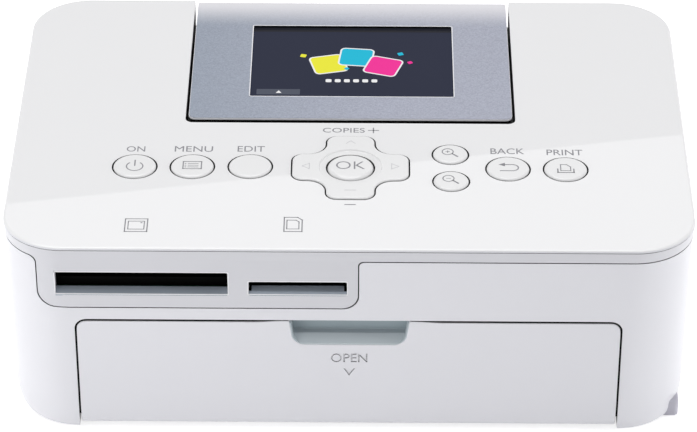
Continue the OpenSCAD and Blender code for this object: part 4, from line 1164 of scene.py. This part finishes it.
# Lamps: size in metres, watts, place in metres, turn in degrees
LAMPS = {"overhead softbox": ((1.6, 1.2), 13.6, (-0.2, 0.1, 1.5), -8),
         "front fill": ((0.3, 0.2), 0.5, (-0.35, -0.4, 0.12), 0),
         "left fill": ((0.6, 0.4), 2.7, (-1.28, -0.25, 0.25), 0),
         "right fill": ((0.3, 0.4), 6.6, (1.28, -0.2, 0.25), 0)}
WORLD_COLOUR = (0.97, 0.97, 1.0, 1)
WORLD_STRENGTH = 0.37
FLOOR_LIFT = 0.65           # glow of the floor for the rays that see it
CARD_GLOW = 1.9


def make_camera():
    lens = bpy.data.cameras.new("camera")
    lens.sensor_width = 36.0
    lens.lens = 185.22
    lens.clip_end = 20.0
    camera = linked("camera", lens)
    yaw, down, roll = CAMERA_TURN
    camera.matrix_world = (Matrix.Translation(CAMERA_SPOT) @ Matrix.Rotation(-yaw, 4, "Z")
                           @ Matrix.Rotation(pi / 2 - down, 4, "X") @ Matrix.Rotation(roll, 4, "Z"))
    bpy.context.scene.camera = camera


def add_lamp(name, size, watts, spot, turn):
    lamp = bpy.data.lights.new(name, "AREA")
    lamp.shape = "RECTANGLE"
    lamp.size, lamp.size_y = size
    lamp.energy = watts
    thing = linked(name, lamp)
    facing = (Vector(AIM) - Vector(spot)).to_track_quat("-Z", "Y").to_matrix().to_4x4()
    thing.matrix_world = Matrix.Translation(spot) @ facing @ Matrix.Rotation(radians(turn), 4, "Z")
    thing.visible_glossy = "fill" not in name


def make_world():
    world = bpy.data.worlds.new("studio")
    bpy.context.scene.world = world
    world.use_nodes = True
    tree = world.node_tree
    base = tree.nodes["Background"]
    feed_all(base.inputs, WORLD_COLOUR, WORLD_STRENGTH)
    white = node(tree, "Background", in_Strength=1.0, in_Color=(1, 1, 1, 1))
    mix = node(tree, "MixShader")
    feed_all(mix.inputs, seen_directly(tree), base.outputs[0], white.outputs[0])
    feed(tree.nodes["World Output"].inputs["Surface"], mix.outputs[0])


def stage_piece(bm, name, look_name):
    """Object of the set; returns it with its material's tree and surface socket."""
    piece = loose_object(bm, name)
    look = bpy.data.materials.new(look_name)
    look.use_nodes = True
    tree = look.node_tree
    tree.nodes.remove(tree.nodes["Principled BSDF"])
    piece.data.materials.append(look)
    return piece, tree, tree.nodes["Material Output"].inputs["Surface"]


def make_floor():
    bm = bmesh.new()
    bmesh.ops.create_grid(bm, x_segments=1, y_segments=1, size=4.0)
    floor, tree, surface = stage_piece(bm, "floor", "white table")
    flat = node(tree, "BsdfDiffuse", in_Color=(0.9, 0.9, 0.9, 1))
    lift = node(tree, "Emission", in_Strength=maths("MULTIPLY", seen_directly(tree), FLOOR_LIFT))
    both = node(tree, "AddShader")
    feed_all(both.inputs, flat.outputs[0], lift.outputs[0])
    feed(surface, both.outputs[0])


def make_gloss_card():
    """White card behind the printer that only its glossy faces reflect."""
    bm = outline([(-0.6, 1.105), (0.6, 0.951), (0.6, 2.4), (-0.6, 2.4)])
    moved(turned(bm, Matrix.Rotation(pi / 2, 4, "X")), 0, 1.5, 0)
    card_piece, tree, surface = stage_piece(bm, "gloss_card", "lit card")
    feed(surface, node(tree, "Emission", in_Strength=CARD_GLOW).outputs[0])
    for ray in ("camera", "diffuse", "transmission", "volume_scatter", "shadow"):
        setattr(card_piece, "visible_" + ray, False)


def make_stage():
    make_world()
    make_floor()
    make_gloss_card()
    for name, settings in LAMPS.items():
        add_lamp(name, *settings)
    bpy.context.scene.view_settings.view_transform = "Standard"


make_camera()
make_stage()
make_base()
make_lip()
make_cover()
make_paper_door()
make_door_gap_shadow()
make_scoop()
make_ink_door()
make_display_cap()
make_display_body()
make_screen()
for key_name, spot_and_width in KEYS.items():
    make_round_key(key_name, *spot_and_width)
make_pad()
make_ok()
make_legends()
make_card_mouths()
dress_nodes()
